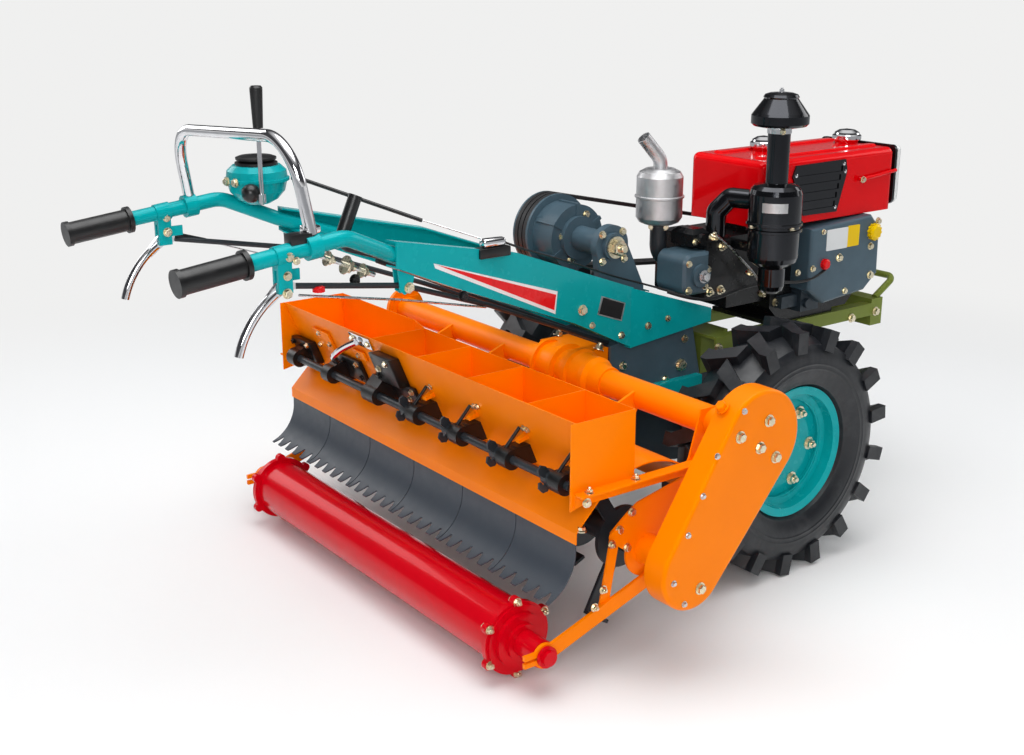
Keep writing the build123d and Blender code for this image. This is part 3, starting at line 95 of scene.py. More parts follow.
sky.links.new(room.outputs["Color"], backdrop.inputs["Color"])
mixed_sky = sky.nodes.new("ShaderNodeMixShader")
sky.links.new(seen_ray(sky), mixed_sky.inputs[0])
sky.links.new(air.outputs[0], mixed_sky.inputs[1])
sky.links.new(backdrop.outputs[0], mixed_sky.inputs[2])
sky.links.new(mixed_sky.outputs[0], sky_out.inputs["Surface"])

bpy.ops.object.select_all(action="DESELECT")
bpy.ops.mesh.primitive_plane_add(size=400, location=(0, 0, 0))
floor = bpy.context.object
floor.name = "studio_floor"
floor_paint = bpy.data.materials.new("floor_white")
floor_paint.use_nodes = True
floor_tree = floor_paint.node_tree
floor_shader = floor_tree.nodes["Principled BSDF"]
floor_shader.inputs["Base Color"].default_value = (0.88, 0.88, 0.875, 1)
floor_shader.inputs["Roughness"].default_value = 0.8
floor_shader.inputs["Specular IOR Level"].default_value = 0.1
far_white = floor_tree.nodes.new("ShaderNodeEmission")
far_white.inputs["Color"].default_value = STUDIO_WHITE
floor_place = floor_tree.nodes.new("ShaderNodeTexCoord")
distance = floor_tree.nodes.new("ShaderNodeVectorMath")
distance.operation = "LENGTH"
fade = floor_tree.nodes.new("ShaderNodeMapRange")
fade.interpolation_type = "SMOOTHSTEP"
fade.inputs["From Min"].default_value, fade.inputs["From Max"].default_value = FLOOR_FADE
faded = floor_tree.nodes.new("ShaderNodeMath")
faded.operation = "MULTIPLY"
mixed_floor = floor_tree.nodes.new("ShaderNodeMixShader")
floor_tree.links.new(floor_place.outputs["Object"], distance.inputs[0])
floor_tree.links.new(distance.outputs["Value"], fade.inputs["Value"])
floor_tree.links.new(fade.outputs["Result"], faded.inputs[0])
floor_rays = floor_tree.nodes.new("ShaderNodeLightPath")
floor_tree.links.new(floor_rays.outputs["Is Camera Ray"], faded.inputs[1])
floor_tree.links.new(faded.outputs[0], mixed_floor.inputs[0])
floor_tree.links.new(floor_shader.outputs[0], mixed_floor.inputs[1])
floor_tree.links.new(far_white.outputs[0], mixed_floor.inputs[2])
floor_tree.links.new(mixed_floor.outputs[0], floor_tree.nodes["Material Output"].inputs["Surface"])
floor.data.materials.append(floor_paint)


def soft_lamp(name, location, target, size, power):
    lamp = bpy.data.lights.new(name, "AREA")
    lamp.shape = "RECTANGLE"
    lamp.size, lamp.size_y = size
    lamp.energy = power
    holder = bpy.data.objects.new(name, lamp)
    holder.location = location
    holder.rotation_euler = (Vector(target) - Vector(location)).to_track_quat("-Z", "Y").to_euler()
    bpy.context.collection.objects.link(holder)


soft_lamp("overhead", (0.4, -0.3, 4.0), (0, 0, 0.4), (3.2, 3.2), 118)
soft_lamp("rear_right", (3.6, -3.0, 2.4), (0, 0, 0.6), (1.8, 1.8), 80)
soft_lamp("left_side", (-3.8, -1.2, 2.2), (0, 0, 0.6), (1.6, 2.4), 30)
soft_lamp("front_fill", (1.0, 4.2, 2.4), (0, 0, 0.6), (2.6, 1.6), 26)

# Tyres. Farm tyres of black rubber with deep lugs, moulded with fine rings round their side walls.
# New rubber is blue-black, a little dusty between the lugs.
right_low, right_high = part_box("rim_right")
left_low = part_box("rim_left")[0]
axle_foot = Vector(((left_low[0] + right_high[0]) / 2, (right_low[1] + right_high[1]) / 2, 0))
AXLE_Z = 318


def spot(x, y, z):
    """A place in mm to the right of, ahead of and above the foot of the axle, as a point of the frame."""
    return axle_foot + Vector((x, y, z)) / 1000


def blank(name):
    """A new finish of this name, with its node tree and its shader."""
    material = bpy.data.materials.new(name)
    material.use_nodes = True
    return material, material.node_tree, material.node_tree.nodes["Principled BSDF"]


def speckle(tree, scale, detail=4.0, roughness=0.55):
    place = tree.nodes.new("ShaderNodeTexCoord")
    pattern = tree.nodes.new("ShaderNodeTexNoise")
    pattern.inputs["Scale"].default_value = scale
    pattern.inputs["Detail"].default_value = detail
    pattern.inputs["Roughness"].default_value = roughness
    tree.links.new(place.outputs["Object"], pattern.inputs["Vector"])
    return pattern.outputs["Fac"]


def blend_by(tree, source, stops):
    steps = tree.nodes.new("ShaderNodeValToRGB")
    tree.links.new(source, steps.inputs["Fac"])
    elements = steps.color_ramp.elements
    for element, (position, colour) in zip(elements, (stops[0], stops[-1])):
        element.position = position
        element.color = (*colour, 1)
    for position, colour in stops[1:-1]:
        element = elements.new(position)
        element.color = (*colour, 1)
    return steps.outputs["Color"]


def relief(tree, shader, surface, strength, depth):
    bump = tree.nodes.new("ShaderNodeBump")
    bump.inputs["Strength"].default_value = strength
    bump.inputs["Distance"].default_value = depth
    tree.links.new(surface, bump.inputs["Height"])
    if shader.inputs["Normal"].links:
        tree.links.new(shader.inputs["Normal"].links[0].from_socket, bump.inputs["Normal"])
    tree.links.new(bump.outputs["Normal"], shader.inputs["Normal"])


def shade(colour, factor):
    return tuple(min(1.0, c * factor) for c in colour)


def grey(value):
    return (value,) * 3


def rubber(name, colour, roughness=0.6, dust=0.2):
    material, tree, shader = blank(name)
    mix = tree.nodes.new("ShaderNodeMix")
    mix.data_type = "RGBA"
    cover = blend_by(tree, speckle(tree, 16.0, 8.0, 0.7), [(0.48, grey(0)), (0.85, grey(dust))])
    tree.links.new(cover, mix.inputs["Factor"])
    mix.inputs["A"].default_value = (*colour, 1)
    mix.inputs["B"].default_value = (0.11, 0.11, 0.115, 1)
    tree.links.new(mix.outputs["Result"], shader.inputs["Base Color"])
    worn = blend_by(tree, speckle(tree, 45.0),
                    [(0.3, grey(roughness * 0.85)), (0.7, grey(roughness * 1.15))])
    tree.links.new(worn, shader.inputs["Roughness"])
    shader.inputs["Specular IOR Level"].default_value = 0.5
    relief(tree, shader, speckle(tree, 330.0, 5.0, 0.6), 0.12, 0.0006)
    return material


def wear(finish, *names):
    """Gives these CAD nodes their finish."""
    for name in names:
        for holder in nodes[name].material_slots:
            holder.material = finish


def ringed_wall(material):
    """Moulded rings round the axle, where the side wall is."""
    tree = material.node_tree
    place = tree.nodes.new("ShaderNodeTexCoord")
    about_axle = tree.nodes.new("ShaderNodeMapping")
    about_axle.inputs["Location"].default_value = (0, -axle_foot.y, -AXLE_Z / 1000)
    about_axle.inputs["Scale"].default_value = (0, 1, 1)
    reach = tree.nodes.new("ShaderNodeVectorMath")
    reach.operation = "LENGTH"
    tree.links.new(place.outputs["Object"], about_axle.inputs["Vector"])
    tree.links.new(about_axle.outputs["Vector"], reach.inputs[0])
    rings = [(0.160, 0), (0.172, 0), (0.174, 1), (0.178, 1), (0.180, 0), (0.216, 0), (0.218, 1),
             (0.221, 1), (0.223, 0), (0.228, 0), (0.230, 1), (0.233, 1), (0.235, 0)]
    height = blend_by(tree, reach.outputs["Value"], [(radius, grey(rise)) for radius, rise in rings])
    relief(tree, tree.nodes["Principled BSDF"], height, 0.8, 0.0016)


tyre_rubber = rubber("tyre_rubber", (0.0075, 0.009, 0.012), 0.42, 0.30)
ringed_wall(tyre_rubber)
wear(tyre_rubber, "tyre_right", "tyre_left")

# Wheel rims and half axles. Pressed steel discs in the machine's teal enamel, each bolted to its
# half axle by six zinc-plated nuts that stand out of the disc.
NUT_CIRCLE_R = 100
NUT_FACE_X = 413
DISC_PHASE = -5
NEXT_TURN = 0.8


def enamel(name, colour, roughness=0.3, coat=0.35, peel=0.03):
    material, tree, shader = blank(name)
    tone = blend_by(tree, speckle(tree, 7.0), [(0.3, shade(colour, 0.965)), (0.7, shade(colour, 1.02))])
    tree.links.new(tone, shader.inputs["Base Color"])
    worn = blend_by(tree, speckle(tree, 31.0),
                    [(0.3, grey(roughness * 0.93)), (0.75, grey(min(0.9, roughness * 1.12)))])
    tree.links.new(worn, shader.inputs["Roughness"])
    shader.inputs["Specular IOR Level"].default_value = 0.3
    shader.inputs["Specular Tint"].default_value = (*shade(colour, 1 / max(colour)), 1)
    shader.inputs["Coat Weight"].default_value = coat
    shader.inputs["Coat Roughness"].default_value = 0.06
    relief(tree, shader, speckle(tree, 420.0, 2.0), peel, 0.0005)
    return material


def bright_metal(name, colour, roughness=0.18, grain=0.0):
    material, tree, shader = blank(name)
    shader.inputs["Metallic"].default_value = 1.0
    tone = blend_by(tree, speckle(tree, 18.0), [(0.3, shade(colour, 0.86)), (0.7, colour)])
    tree.links.new(tone, shader.inputs["Base Color"])
    worn = blend_by(tree, speckle(tree, 75.0, 5.0),
                    [(0.3, grey(roughness * 0.7)), (0.7, grey(roughness * 1.5))])
    tree.links.new(worn, shader.inputs["Roughness"])
    if grain:
        relief(tree, shader, speckle(tree, 350.0, 4.0), grain, 0.0006)
    return material


def pick_faces(piece, wanted):
    """Edit mode on one piece, with only the wanted faces selected."""
    bpy.ops.object.select_all(action="DESELECT")
    piece.select_set(True)
    bpy.context.view_layer.objects.active = piece
    bpy.ops.object.mode_set(mode="EDIT")
    bpy.ops.mesh.select_mode(type="FACE")
    bpy.ops.mesh.select_all(action="DESELECT")
    edited = bmesh.from_edit_mesh(piece.data)
    for face in edited.faces:
        face.select_set(bool(wanted(face)))
    bmesh.update_edit_mesh(piece.data)


def join_all(*pieces):
    bpy.ops.object.select_all(action="DESELECT")
    for piece in pieces:
        piece.select_set(True)
    bpy.context.view_layer.objects.active = pieces[0]
    bpy.ops.object.join()
    return pieces[0]


def smooth(piece):
    """The place goes into the mesh, and faces that meet at a small angle shade as one."""
    bpy.ops.object.select_all(action="DESELECT")
    piece.select_set(True)
    bpy.context.view_layer.objects.active = piece
    bpy.ops.object.transform_apply(location=True, rotation=True, scale=True)
    bpy.ops.object.shade_smooth_by_angle(angle=radians(32))
    return piece


def pattern_of(piece):
    """The mesh of a fastener that is copied to its seats. The object it was made on goes."""
    mesh = smooth(piece).data
    bpy.data.objects.remove(piece)
    return mesh


def hex_bolt(washer_r=1.3, head_h=0.75, washer_t=0.22):
    """A hexagon head of radius 1 on its washer, with its top edge chamfered."""
    bpy.ops.object.select_all(action="DESELECT")
    bpy.ops.mesh.primitive_cylinder_add(vertices=20, radius=washer_r, depth=washer_t,
                                        location=(0, 0, washer_t / 2))
    washer = bpy.context.object
    bpy.ops.mesh.primitive_cylinder_add(vertices=6, radius=1.0, depth=head_h,
                                        location=(0, 0, washer_t + head_h / 2))
    head = bpy.context.object
    pick_faces(head, lambda face: face.normal.z > 0.9)
    bpy.ops.mesh.inset(thickness=0.15)
    bpy.ops.transform.translate(value=(0, 0, 0.1))
    bpy.ops.object.mode_set(mode="OBJECT")
    return join_all(head, washer)


def nut_and_stud():
    """A hexagon nut on its washer, with the end of its stud standing out."""
    nut = hex_bolt(1.4, 0.85)
    bpy.ops.object.select_all(action="DESELECT")
    bpy.ops.mesh.primitive_cylinder_add(vertices=14, radius=0.52, depth=0.7, location=(0, 0, 1.4))
    stud = bpy.context.object
    pick_faces(stud, lambda face: face.normal.z > 0.9)
    bpy.ops.mesh.inset(thickness=0.1)
    bpy.ops.transform.translate(value=(0, 0, 0.08))
    bpy.ops.object.mode_set(mode="OBJECT")
    return join_all(nut, stud)


def round_screw():
    """A domed screw head of radius 1."""
    bpy.ops.object.select_all(action="DESELECT")
    bpy.ops.mesh.primitive_cylinder_add(vertices=16, radius=1.0, depth=0.3, location=(0, 0, 0.15))
    screw = bpy.context.object
    pick_faces(screw, lambda face: face.normal.z > 0.9)
    for inward, up in ((0.2, 0.16), (0.3, 0.1)):
        bpy.ops.mesh.inset(thickness=inward)
        bpy.ops.transform.translate(value=(0, 0, up))
    bpy.ops.object.mode_set(mode="OBJECT")
    return screw


def dress(piece, name, finish, body="chassis"):
    """Names a new piece, gives it its finish and lets it ride on its body."""
    piece.name = piece.data.name = name
    piece.data.materials.clear()
    piece.data.materials.append(finish)
    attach(piece, body)
    return piece


def facing(way):
    return Vector(way).to_track_quat("Z", "Y").to_matrix().to_4x4()


def fasten(name, pattern, seats, way, finish, body="chassis"):
    """Copies of a fastener, one on each seat (x, y, z, radius), as one piece.

    All point the same way, and each is tightened to another angle.
    """
    joined = bmesh.new()
    for number, (x, y, z, size) in enumerate(seats):
        copy = pattern.copy()
        turn = facing(way) @ Matrix.Rotation(NEXT_TURN * number, 4, "Z")
        copy.transform(Matrix.Translation(spot(x, y, z)) @ turn @ Matrix.Scale(size / 1000, 4))
        joined.from_mesh(copy)
        bpy.data.meshes.remove(copy)
    mesh = bpy.data.meshes.new(name)
    joined.to_mesh(mesh)
    joined.free()
    piece = bpy.data.objects.new(name, mesh)
    bpy.context.collection.objects.link(piece)
    return dress(piece, name, finish, body)


def six_round(x, y, z, radius, size, start=0):
    """Six seats spread evenly round a circle that faces sideways."""
    turns = [radians(start + 60 * i) for i in range(6)]
    return [(x, y + radius * cos(a), z + radius * sin(a), size) for a in turns]


teal = enamel("teal_enamel", (0.0015, 0.34, 0.36), 0.26, 0.18)
zinc = bright_metal("yellow_zinc", (0.82, 0.74, 0.54), 0.26)
wear(teal, "rim_right", "rim_left", "half_axle_right", "half_axle_left")
bolt = pattern_of(hex_bolt())
nut = pattern_of(nut_and_stud())
screw = pattern_of(round_screw())
for side, body in ((1, "wheel_right"), (-1, "wheel_left")):
    wheel_seats = six_round(side * NUT_FACE_X, 0, AXLE_Z, NUT_CIRCLE_R, 12, DISC_PHASE)
    fasten(body + "_nuts", nut, wheel_seats, (side, 0, 0), zinc, body)

# Gearbox. A cast iron case in dark blue-grey with lighter side plates, held by large zinc-plated
# bolts on both sides.
SIDE_PLATE_X = 110


def casting(name, colour, roughness=0.42, grain=0.16):
    material, tree, shader = blank(name)
    tone = blend_by(tree, speckle(tree, 11.0, 6.0),
                    [(0.28, shade(colour, 0.82)), (0.72, shade(colour, 1.1))])
    tree.links.new(tone, shader.inputs["Base Color"])
    worn = blend_by(tree, speckle(tree, 60.0),
                    [(0.3, grey(roughness * 0.8)), (0.7, grey(roughness * 1.25))])
    tree.links.new(worn, shader.inputs["Roughness"])
    shader.inputs["Specular IOR Level"].default_value = 0.3
    shader.inputs["Coat Weight"].default_value = 0.12
    shader.inputs["Coat Roughness"].default_value = 0.2
    relief(tree, shader, speckle(tree, 240.0, 6.0, 0.65), grain, 0.0011)
    return material


def on_face(x, seats):
    """Seats (y, z, radius) on a face that looks sideways at this x."""
    return [(x, *seat) for seat in seats]


dark_case = casting("dark_case_casting", (0.022, 0.034, 0.045))
blue_grey = casting("blue_grey_casting", (0.058, 0.100, 0.130), 0.36)
wear(dark_case, "gearbox")
wear(blue_grey, "gearbox_side_plates")
plate_bolts = [(-57, 543, 8), (-68, 474, 13), (-120, 445, 7.5), (-269, 507, 9)]
for side, hand in ((1, "right"), (-1, "left")):
    fasten("gearbox_bolts_" + hand, bolt, on_face(side * SIDE_PLATE_X, plate_bolts), (side, 0, 0), zinc)

# Engine bed, front bumper and hitch. The bed and its bumper are olive, and the drawbars behind the
# gearbox are teal. Bolts hold the bed to the gearbox and the rails to the cross pieces.
RAIL_X = 160
RIGHT = (1, 0, 0)
olive = enamel("olive_enamel", (0.16, 0.20, 0.035), 0.36, 0.12)
wear(olive, "engine_bed", "front_bumper")
wear(teal, "hitch_bars")
rail_seats = [(17, 517, 10), (120, 517, 8), (546, 515, 10), (651, 519, 10)]
fasten("rail_bolts", bolt, on_face(RAIL_X, rail_seats), RIGHT, zinc)

# Engine. A single lying cylinder: crankcase, block and head in black, with the gear cover, rocker
# cover and pump in blue-grey, all cast. Their covers are held by zinc-plated bolts.
GEAR_COVER_X = 215
CRANKCASE_X = 150
ROCKER_X = 150
LABEL_T = 1.2
engine_black = casting("black_engine_paint", (0.0065, 0.0070, 0.0078), 0.3, 0.12)
wear(engine_black, "crankcase", "cylinder_block", "cylinder_head", "valve_block", "flywheel")
wear(blue_grey, "gear_cover", "rocker_cover")
wear(dark_case, "pump_block")


def pick_edges(piece, wanted):
    """Edit mode on one piece, with only the wanted edges selected."""
    pick_faces(piece, lambda face: False)
    bpy.ops.mesh.select_mode(type="EDGE")
    edited = bmesh.from_edit_mesh(piece.data)
    for edge in edited.edges:
        edge.select_set(bool(wanted(edge)))
    bmesh.update_edit_mesh(piece.data)


def block_between(low, high):
    """A block from one corner to the other, in mm, with its size in its mesh."""
    bpy.ops.object.select_all(action="DESELECT")
    middle = [(a + b) / 2 for a, b in zip(low, high)]
    bpy.ops.mesh.primitive_cube_add(size=1, location=spot(*middle),
                                    scale=[(b - a) / 1000 for a, b in zip(low, high)])
    bpy.ops.object.transform_apply(location=True, rotation=True, scale=True)
    return bpy.context.object


def softened(piece, width, segments=2):
    """All edges of a piece rounded by this many mm."""
    bpy.context.view_layer.objects.active = piece
    rounding = piece.modifiers.new("edges", "BEVEL")
    rounding.width = width / 1000
    rounding.segments = segments
    rounding.limit_method = "ANGLE"
    bpy.ops.object.modifier_apply(modifier=rounding.name)
    return piece


def side_plate(low, high, corner):
    """A thin plate that faces right, with its four corners rounded."""
    plate = block_between(low, high)
    pick_edges(plate, lambda edge: abs((edge.verts[0].co - edge.verts[1].co).normalized().x) > 0.9)
    bpy.ops.mesh.bevel(offset=corner / 1000, segments=3, affect="EDGES")
    bpy.ops.object.mode_set(mode="OBJECT")
    return plate


def run_of(name, points, radius, finish, bends=True):
    """A rod, pipe or cable of this radius along its points, bent smoothly or straight in between."""
    line = bpy.data.curves.new(name, "CURVE")
    line.dimensions = "3D"
    line.bevel_depth = radius / 1000
    line.bevel_resolution = 3
    line.use_fill_caps = True
    line.resolution_u = 8
    spline = line.splines.new("NURBS" if bends else "POLY")
    spline.points.add(len(points) - 1)
    for node, point in zip(spline.points, points):
        node.co = (*spot(*point), 1)
    if bends:
        spline.order_u = 4 if len(points) > 3 else len(points)
        spline.use_endpoint_u = True
    piece = bpy.data.objects.new(name, line)
    bpy.context.collection.objects.link(piece)
    bpy.ops.object.select_all(action="DESELECT")
    piece.select_set(True)
    bpy.context.view_layer.objects.active = piece
    bpy.ops.object.convert(target="MESH")
    return dress(smooth(bpy.context.object), name, finish)


def ribbed_cap(place, way, radius, depth):
    """A cap or knob with twelve flutes to grip and a raised middle."""

    def every_other_side(face):
        flute = int((atan2(face.normal.y, face.normal.x) + 10) / (pi / 12))
        return abs(face.normal.z) < 0.5 and flute % 2

    bpy.ops.object.select_all(action="DESELECT")
    bpy.ops.mesh.primitive_cylinder_add(vertices=24, radius=radius / 1000, depth=depth / 1000)
    cap = bpy.context.object
    pick_faces(cap, every_other_side)
    bpy.ops.mesh.extrude_faces_move(TRANSFORM_OT_shrink_fatten={"value": 0.12 * radius / 1000})
    bpy.ops.object.mode_set(mode="OBJECT")
    pick_faces(cap, lambda face: face.normal.z > 0.9 and face.calc_area() > (radius / 1000) ** 2)
    bpy.ops.mesh.inset(thickness=0.25 * radius / 1000)
    bpy.ops.transform.translate(value=(0, 0, 0.3 * depth / 1000))
    bpy.ops.object.mode_set(mode="OBJECT")
    cap.data.transform(Matrix.Translation(spot(*place)) @ facing(way))
    return cap


label_white = enamel("bare_white_label", (0.70, 0.71, 0.71), 0.4, 0.1, 0.0)
yellow = enamel("yellow_plastic", (0.80, 0.52, 0.0), 0.32, 0.3)
red_plastic = enamel("red_plastic", (0.70, 0.006, 0.008), 0.28, 0.4)
black_rubber = rubber("black_cable_rubber", (0.006, 0.006, 0.007), 0.4, 0.03)
steel = bright_metal("bright_steel", (0.66, 0.67, 0.68), 0.25)
cover_seats = [(535, 733, 8), (407, 717, 9), (542, 651, 9), (337, 795, 6), (560, 800, 8), (303, 700, 7),
               (440, 620, 7)]
fasten("gear_cover_bolts", bolt, on_face(GEAR_COVER_X, cover_seats), RIGHT, zinc)
for name, rear_low, front_high, finish in (
        ("gear_cover_label_white", (352, 741), (436, 798), label_white),
        ("gear_cover_label_yellow", (436, 742), (484, 800), yellow)):
    label = side_plate((GEAR_COVER_X, *rear_low), (GEAR_COVER_X + LABEL_T, *front_high), 3)
    dress(smooth(label), name, finish)
dress(smooth(ribbed_cap((GEAR_COVER_X + 6, 541, 773), RIGHT, 21, 14)), "oil_filler_cap", yellow)
dress(smooth(ribbed_cap((GEAR_COVER_X + 5, 348, 707), RIGHT, 13, 10)), "stop_button", red_plastic)
crankcase_seats = [(237, 605, 9), (237, 780, 9), (400, 590, 8)]
fasten("crankcase_bolts", bolt, on_face(CRANKCASE_X, crankcase_seats), RIGHT, zinc)
fasten("pump_bolts", bolt, [(184, 358, 637, 8), (184, 315, 640, 7), (194, 268, 690, 7)], RIGHT, zinc)
rocker_seats = [(-24, 730, 8), (-89, 683, 8), (-31, 688, 8), (-90, 752, 7)]
fasten("rocker_bolts", bolt, on_face(ROCKER_X, rocker_seats), RIGHT, zinc)
fasten("rocker_centre", bolt, [(ROCKER_X + 12, -48, 717, 13)], RIGHT, steel)
fasten("valve_bolts", bolt, [(118, 2, 799, 7), (118, -40, 798, 7)], RIGHT, zinc)
fasten("head_nuts", nut, [(135, 40, 665, 9), (135, 40, 780, 9), (135, 0, 665, 9)], RIGHT, zinc)
run_of("injector_pipe", [(168, -17, 821), (176, 26, 790), (180, 63, 752), (180, 108, 716), (178, 139, 683),
                         (172, 166, 650)], 3.2, steel)
fasten("injector_nuts", nut, [(160, -17, 812, 9), (172, 108, 706, 8), (165, 166, 640, 9)],
       (0.4, -0.1, 0.9), zinc)
run_of("throttle_cable", [(160, -170, 694), (200, -111, 669), (204, -31, 664), (200, 37, 679),
                          (204, 131, 684), (206, 229, 672), (214, 300, 664), (216, 352, 690)],
       4, black_rubber)
bpy.ops.object.select_all(action="DESELECT")
bpy.ops.mesh.primitive_uv_sphere_add(segments=24, ring_count=14, radius=0.016,
                                     location=spot(196, 181, 712))
ball = bpy.context.object
pick_faces(ball, lambda face: face.normal.z < -0.55)
bpy.ops.mesh.extrude_region_move(TRANSFORM_OT_translate={"value": (0, 0, -0.016)})
bpy.ops.object.mode_set(mode="OBJECT")
dress(smooth(ball), "breather_ball", zinc)

# Hood. The pressed steel tank and radiator cover in glossy red, folded round its edges, with two
# chrome-plated filler caps, a black side grille held by four screws and a rod that holds its front.
HOOD_SIDE_X = 190
red = enamel("red_enamel", (0.70, 0.0003, 0.003), 0.17, 0.22, 0.02)
gloss_black = enamel("gloss_black_enamel", (0.0030, 0.0032, 0.0038), 0.16, 0.4, 0.03)
chrome = bright_metal("bright_chrome", (0.82, 0.82, 0.84), 0.07)
white_panel = enamel("white_lamp_panel", (0.74, 0.75, 0.74), 0.26, 0.4)
wear(red, "tank_hood")
wear(gloss_black, "side_grille")
wear(chrome, "tank_caps")
wear(white_panel, "lamp_panel")
grille_seats = [(240, 950, 4.5), (425, 966, 4.5), (432, 945, 4.5), (400, 852, 4.5)]
fasten("grille_screws", screw, on_face(HOOD_SIDE_X + 5, grille_seats), RIGHT, chrome)
run_of("hood_stay", [(HOOD_SIDE_X + 1, 498, 918), (HOOD_SIDE_X + 8, 502, 918), (HOOD_SIDE_X + 8, 560, 922),
                     (HOOD_SIDE_X + 6, 644, 930)], 5, red, bends=False)
fasten("hood_stay_bolt", bolt, [(HOOD_SIDE_X + 12, 498, 918, 7)], RIGHT, zinc)

# Air cleaner. Glossy black canister with a bare metal plate, its inlet pipe and rain cap above it,
# held by a chrome clamp, and a glossy black elbow to the intake.
CLEANER_XY = (262, 92)
CLEANER_R = 67
STACK_CLAMP_R = 28.6
UP = (0, 0, 1)
wear(gloss_black, "air_cleaner", "air_stack", "intake_elbow")


def shell_sector(centre, radius, z_range, start, end, thickness):
    """Part of an upright round shell between two angles, as a curved plate."""
    bpy.ops.object.select_all(action="DESELECT")
    bpy.ops.mesh.primitive_cylinder_add(vertices=144, radius=radius / 1000,
                                        depth=(z_range[1] - z_range[0]) / 1000, end_fill_type="NOTHING",
                                        location=spot(*centre, sum(z_range) / 2))
    shell = bpy.context.object
    pick_faces(shell, lambda face: not start <= atan2(face.normal.y, face.normal.x) <= end)
    bpy.ops.mesh.delete(type="FACE")
    bpy.ops.object.mode_set(mode="OBJECT")
    wall = shell.modifiers.new("wall", "SOLIDIFY")
    wall.thickness = thickness / 1000
    wall.offset = 1
    bpy.ops.object.modifier_apply(modifier=wall.name)
    return shell


plate_metal = bright_metal("brushed_plate", (0.62, 0.62, 0.62), 0.36)
cleaner_plate = shell_sector(CLEANER_XY, CLEANER_R + 0.2, (889, 913), radians(-76), radians(-20), 0.8)
dress(smooth(cleaner_plate), "cleaner_plate", plate_metal)
dress(smooth(shell_sector(CLEANER_XY, STACK_CLAMP_R, (1078, 1090), -pi, pi, 1.4)), "stack_clamp", chrome)
fasten("stack_clamp_screw", bolt, [(CLEANER_XY[0] + 26, CLEANER_XY[1] - 16, 1084, 6)],
       (0.3, -0.95, 0), zinc)
fasten("cap_nut", nut, [(*CLEANER_XY, 1177, 6)], UP, chrome)
latch_r = CLEANER_R + 2
latch_seats = [(CLEANER_XY[0] + latch_r * cos(a), CLEANER_XY[1] + latch_r * sin(a), 847, 6)
               for a in (radians(-100), radians(-8))]
fasten("cleaner_latches", bolt, latch_seats, UP, zinc)

# Exhaust. A silver heat-painted muffler can with its outlet, on a cast elbow that comes out of the
# cylinder head. The can is rolled steel with pressed bands.
silver = bright_metal("silver_heat_paint", (0.66, 0.66, 0.67), 0.42, 0.1)
dark_iron = casting("dark_iron", (0.022, 0.026, 0.031), 0.36)
wear(silver, "muffler")
wear(dark_iron, "exhaust_elbow")
fasten("exhaust_clamp_bolts", bolt, [(34, -66, 826, 6), (8, -92, 826, 6)], (1, -1, 0), zinc)

# Clutch and belts. A ribbed pulley drum turned by three V-belts, on a shaft in a cast bracket with
# a large zinc-plated nut at its end. Bolts hold the drum on both its faces.
CLUTCH_YZ = (-268, 806)
CLUTCH_BOLT_R = 62
BRACKET_X = 60
DRUM_FACE_X = -78
LEFT = (-1, 0, 0)
belt_rubber = rubber("belt_rubber", (0.010, 0.010, 0.011), 0.5, 0.08)
wear(blue_grey, "clutch", "bearing_bracket")
wear(belt_rubber, "drive_belts")
fasten("clutch_shaft_nut", nut, [(BRACKET_X + 14, -269, 805, 20)], RIGHT, zinc)
bracket_seats = [(-236, 839, 8), (-229, 770, 8), (-300, 770, 8), (-302, 838, 8)]
fasten("bracket_bolts", bolt, on_face(BRACKET_X, bracket_seats), RIGHT, zinc)
drum_seats = [(-318, 813, 8), (-290, 750, 8), (-240, 862, 8)]
fasten("drum_bolts", bolt, on_face(DRUM_FACE_X, drum_seats), RIGHT, zinc)
clutch_left_x = (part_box("clutch")[0][0] - axle_foot.x) * 1000
clutch_face_seats = six_round(clutch_left_x, *CLUTCH_YZ, CLUTCH_BOLT_R, 8)
fasten("clutch_face_bolts", bolt, clutch_face_seats, LEFT, zinc)
fasten("clutch_face_nut", nut, [(clutch_left_x, *CLUTCH_YZ, 16)], LEFT, zinc)

# Handle frame. Two long webs of pressed steel in teal enamel, ending in two tube handles. A red
# flash with a white border is painted on each side, and a bare plate is fixed on the right.
WEB_X = 130
WEB_SPLAY_Y = -263
WEB_SLOPE = 0.1721
wear(teal, "handle_frame", "handle_collars")


def web_x(y):
    """The frame's side runs outwards behind the gearbox."""
    return WEB_X + WEB_SLOPE * max(0.0, WEB_SPLAY_Y - y)


def web_patch(corners, side, proud, thickness):
    """A thin flat patch on the frame's side with these (y, z) corners."""
    bpy.ops.object.select_all(action="DESELECT")
    bpy.ops.mesh.primitive_circle_add(vertices=len(corners), radius=0.1, fill_type="NGON")
    patch = bpy.context.object
    for vertex, (y, z) in zip(patch.data.vertices, corners):
        vertex.co = spot(side * (web_x(y) + proud), y, z)
    patch.data.update()
    if patch.data.polygons[0].normal.x * side < 0:
        patch.data.flip_normals()
    wall = patch.modifiers.new("wall", "SOLIDIFY")
    wall.thickness = thickness / 1000
    wall.offset = 1
    bpy.ops.object.modifier_apply(modifier=wall.name)
    return patch


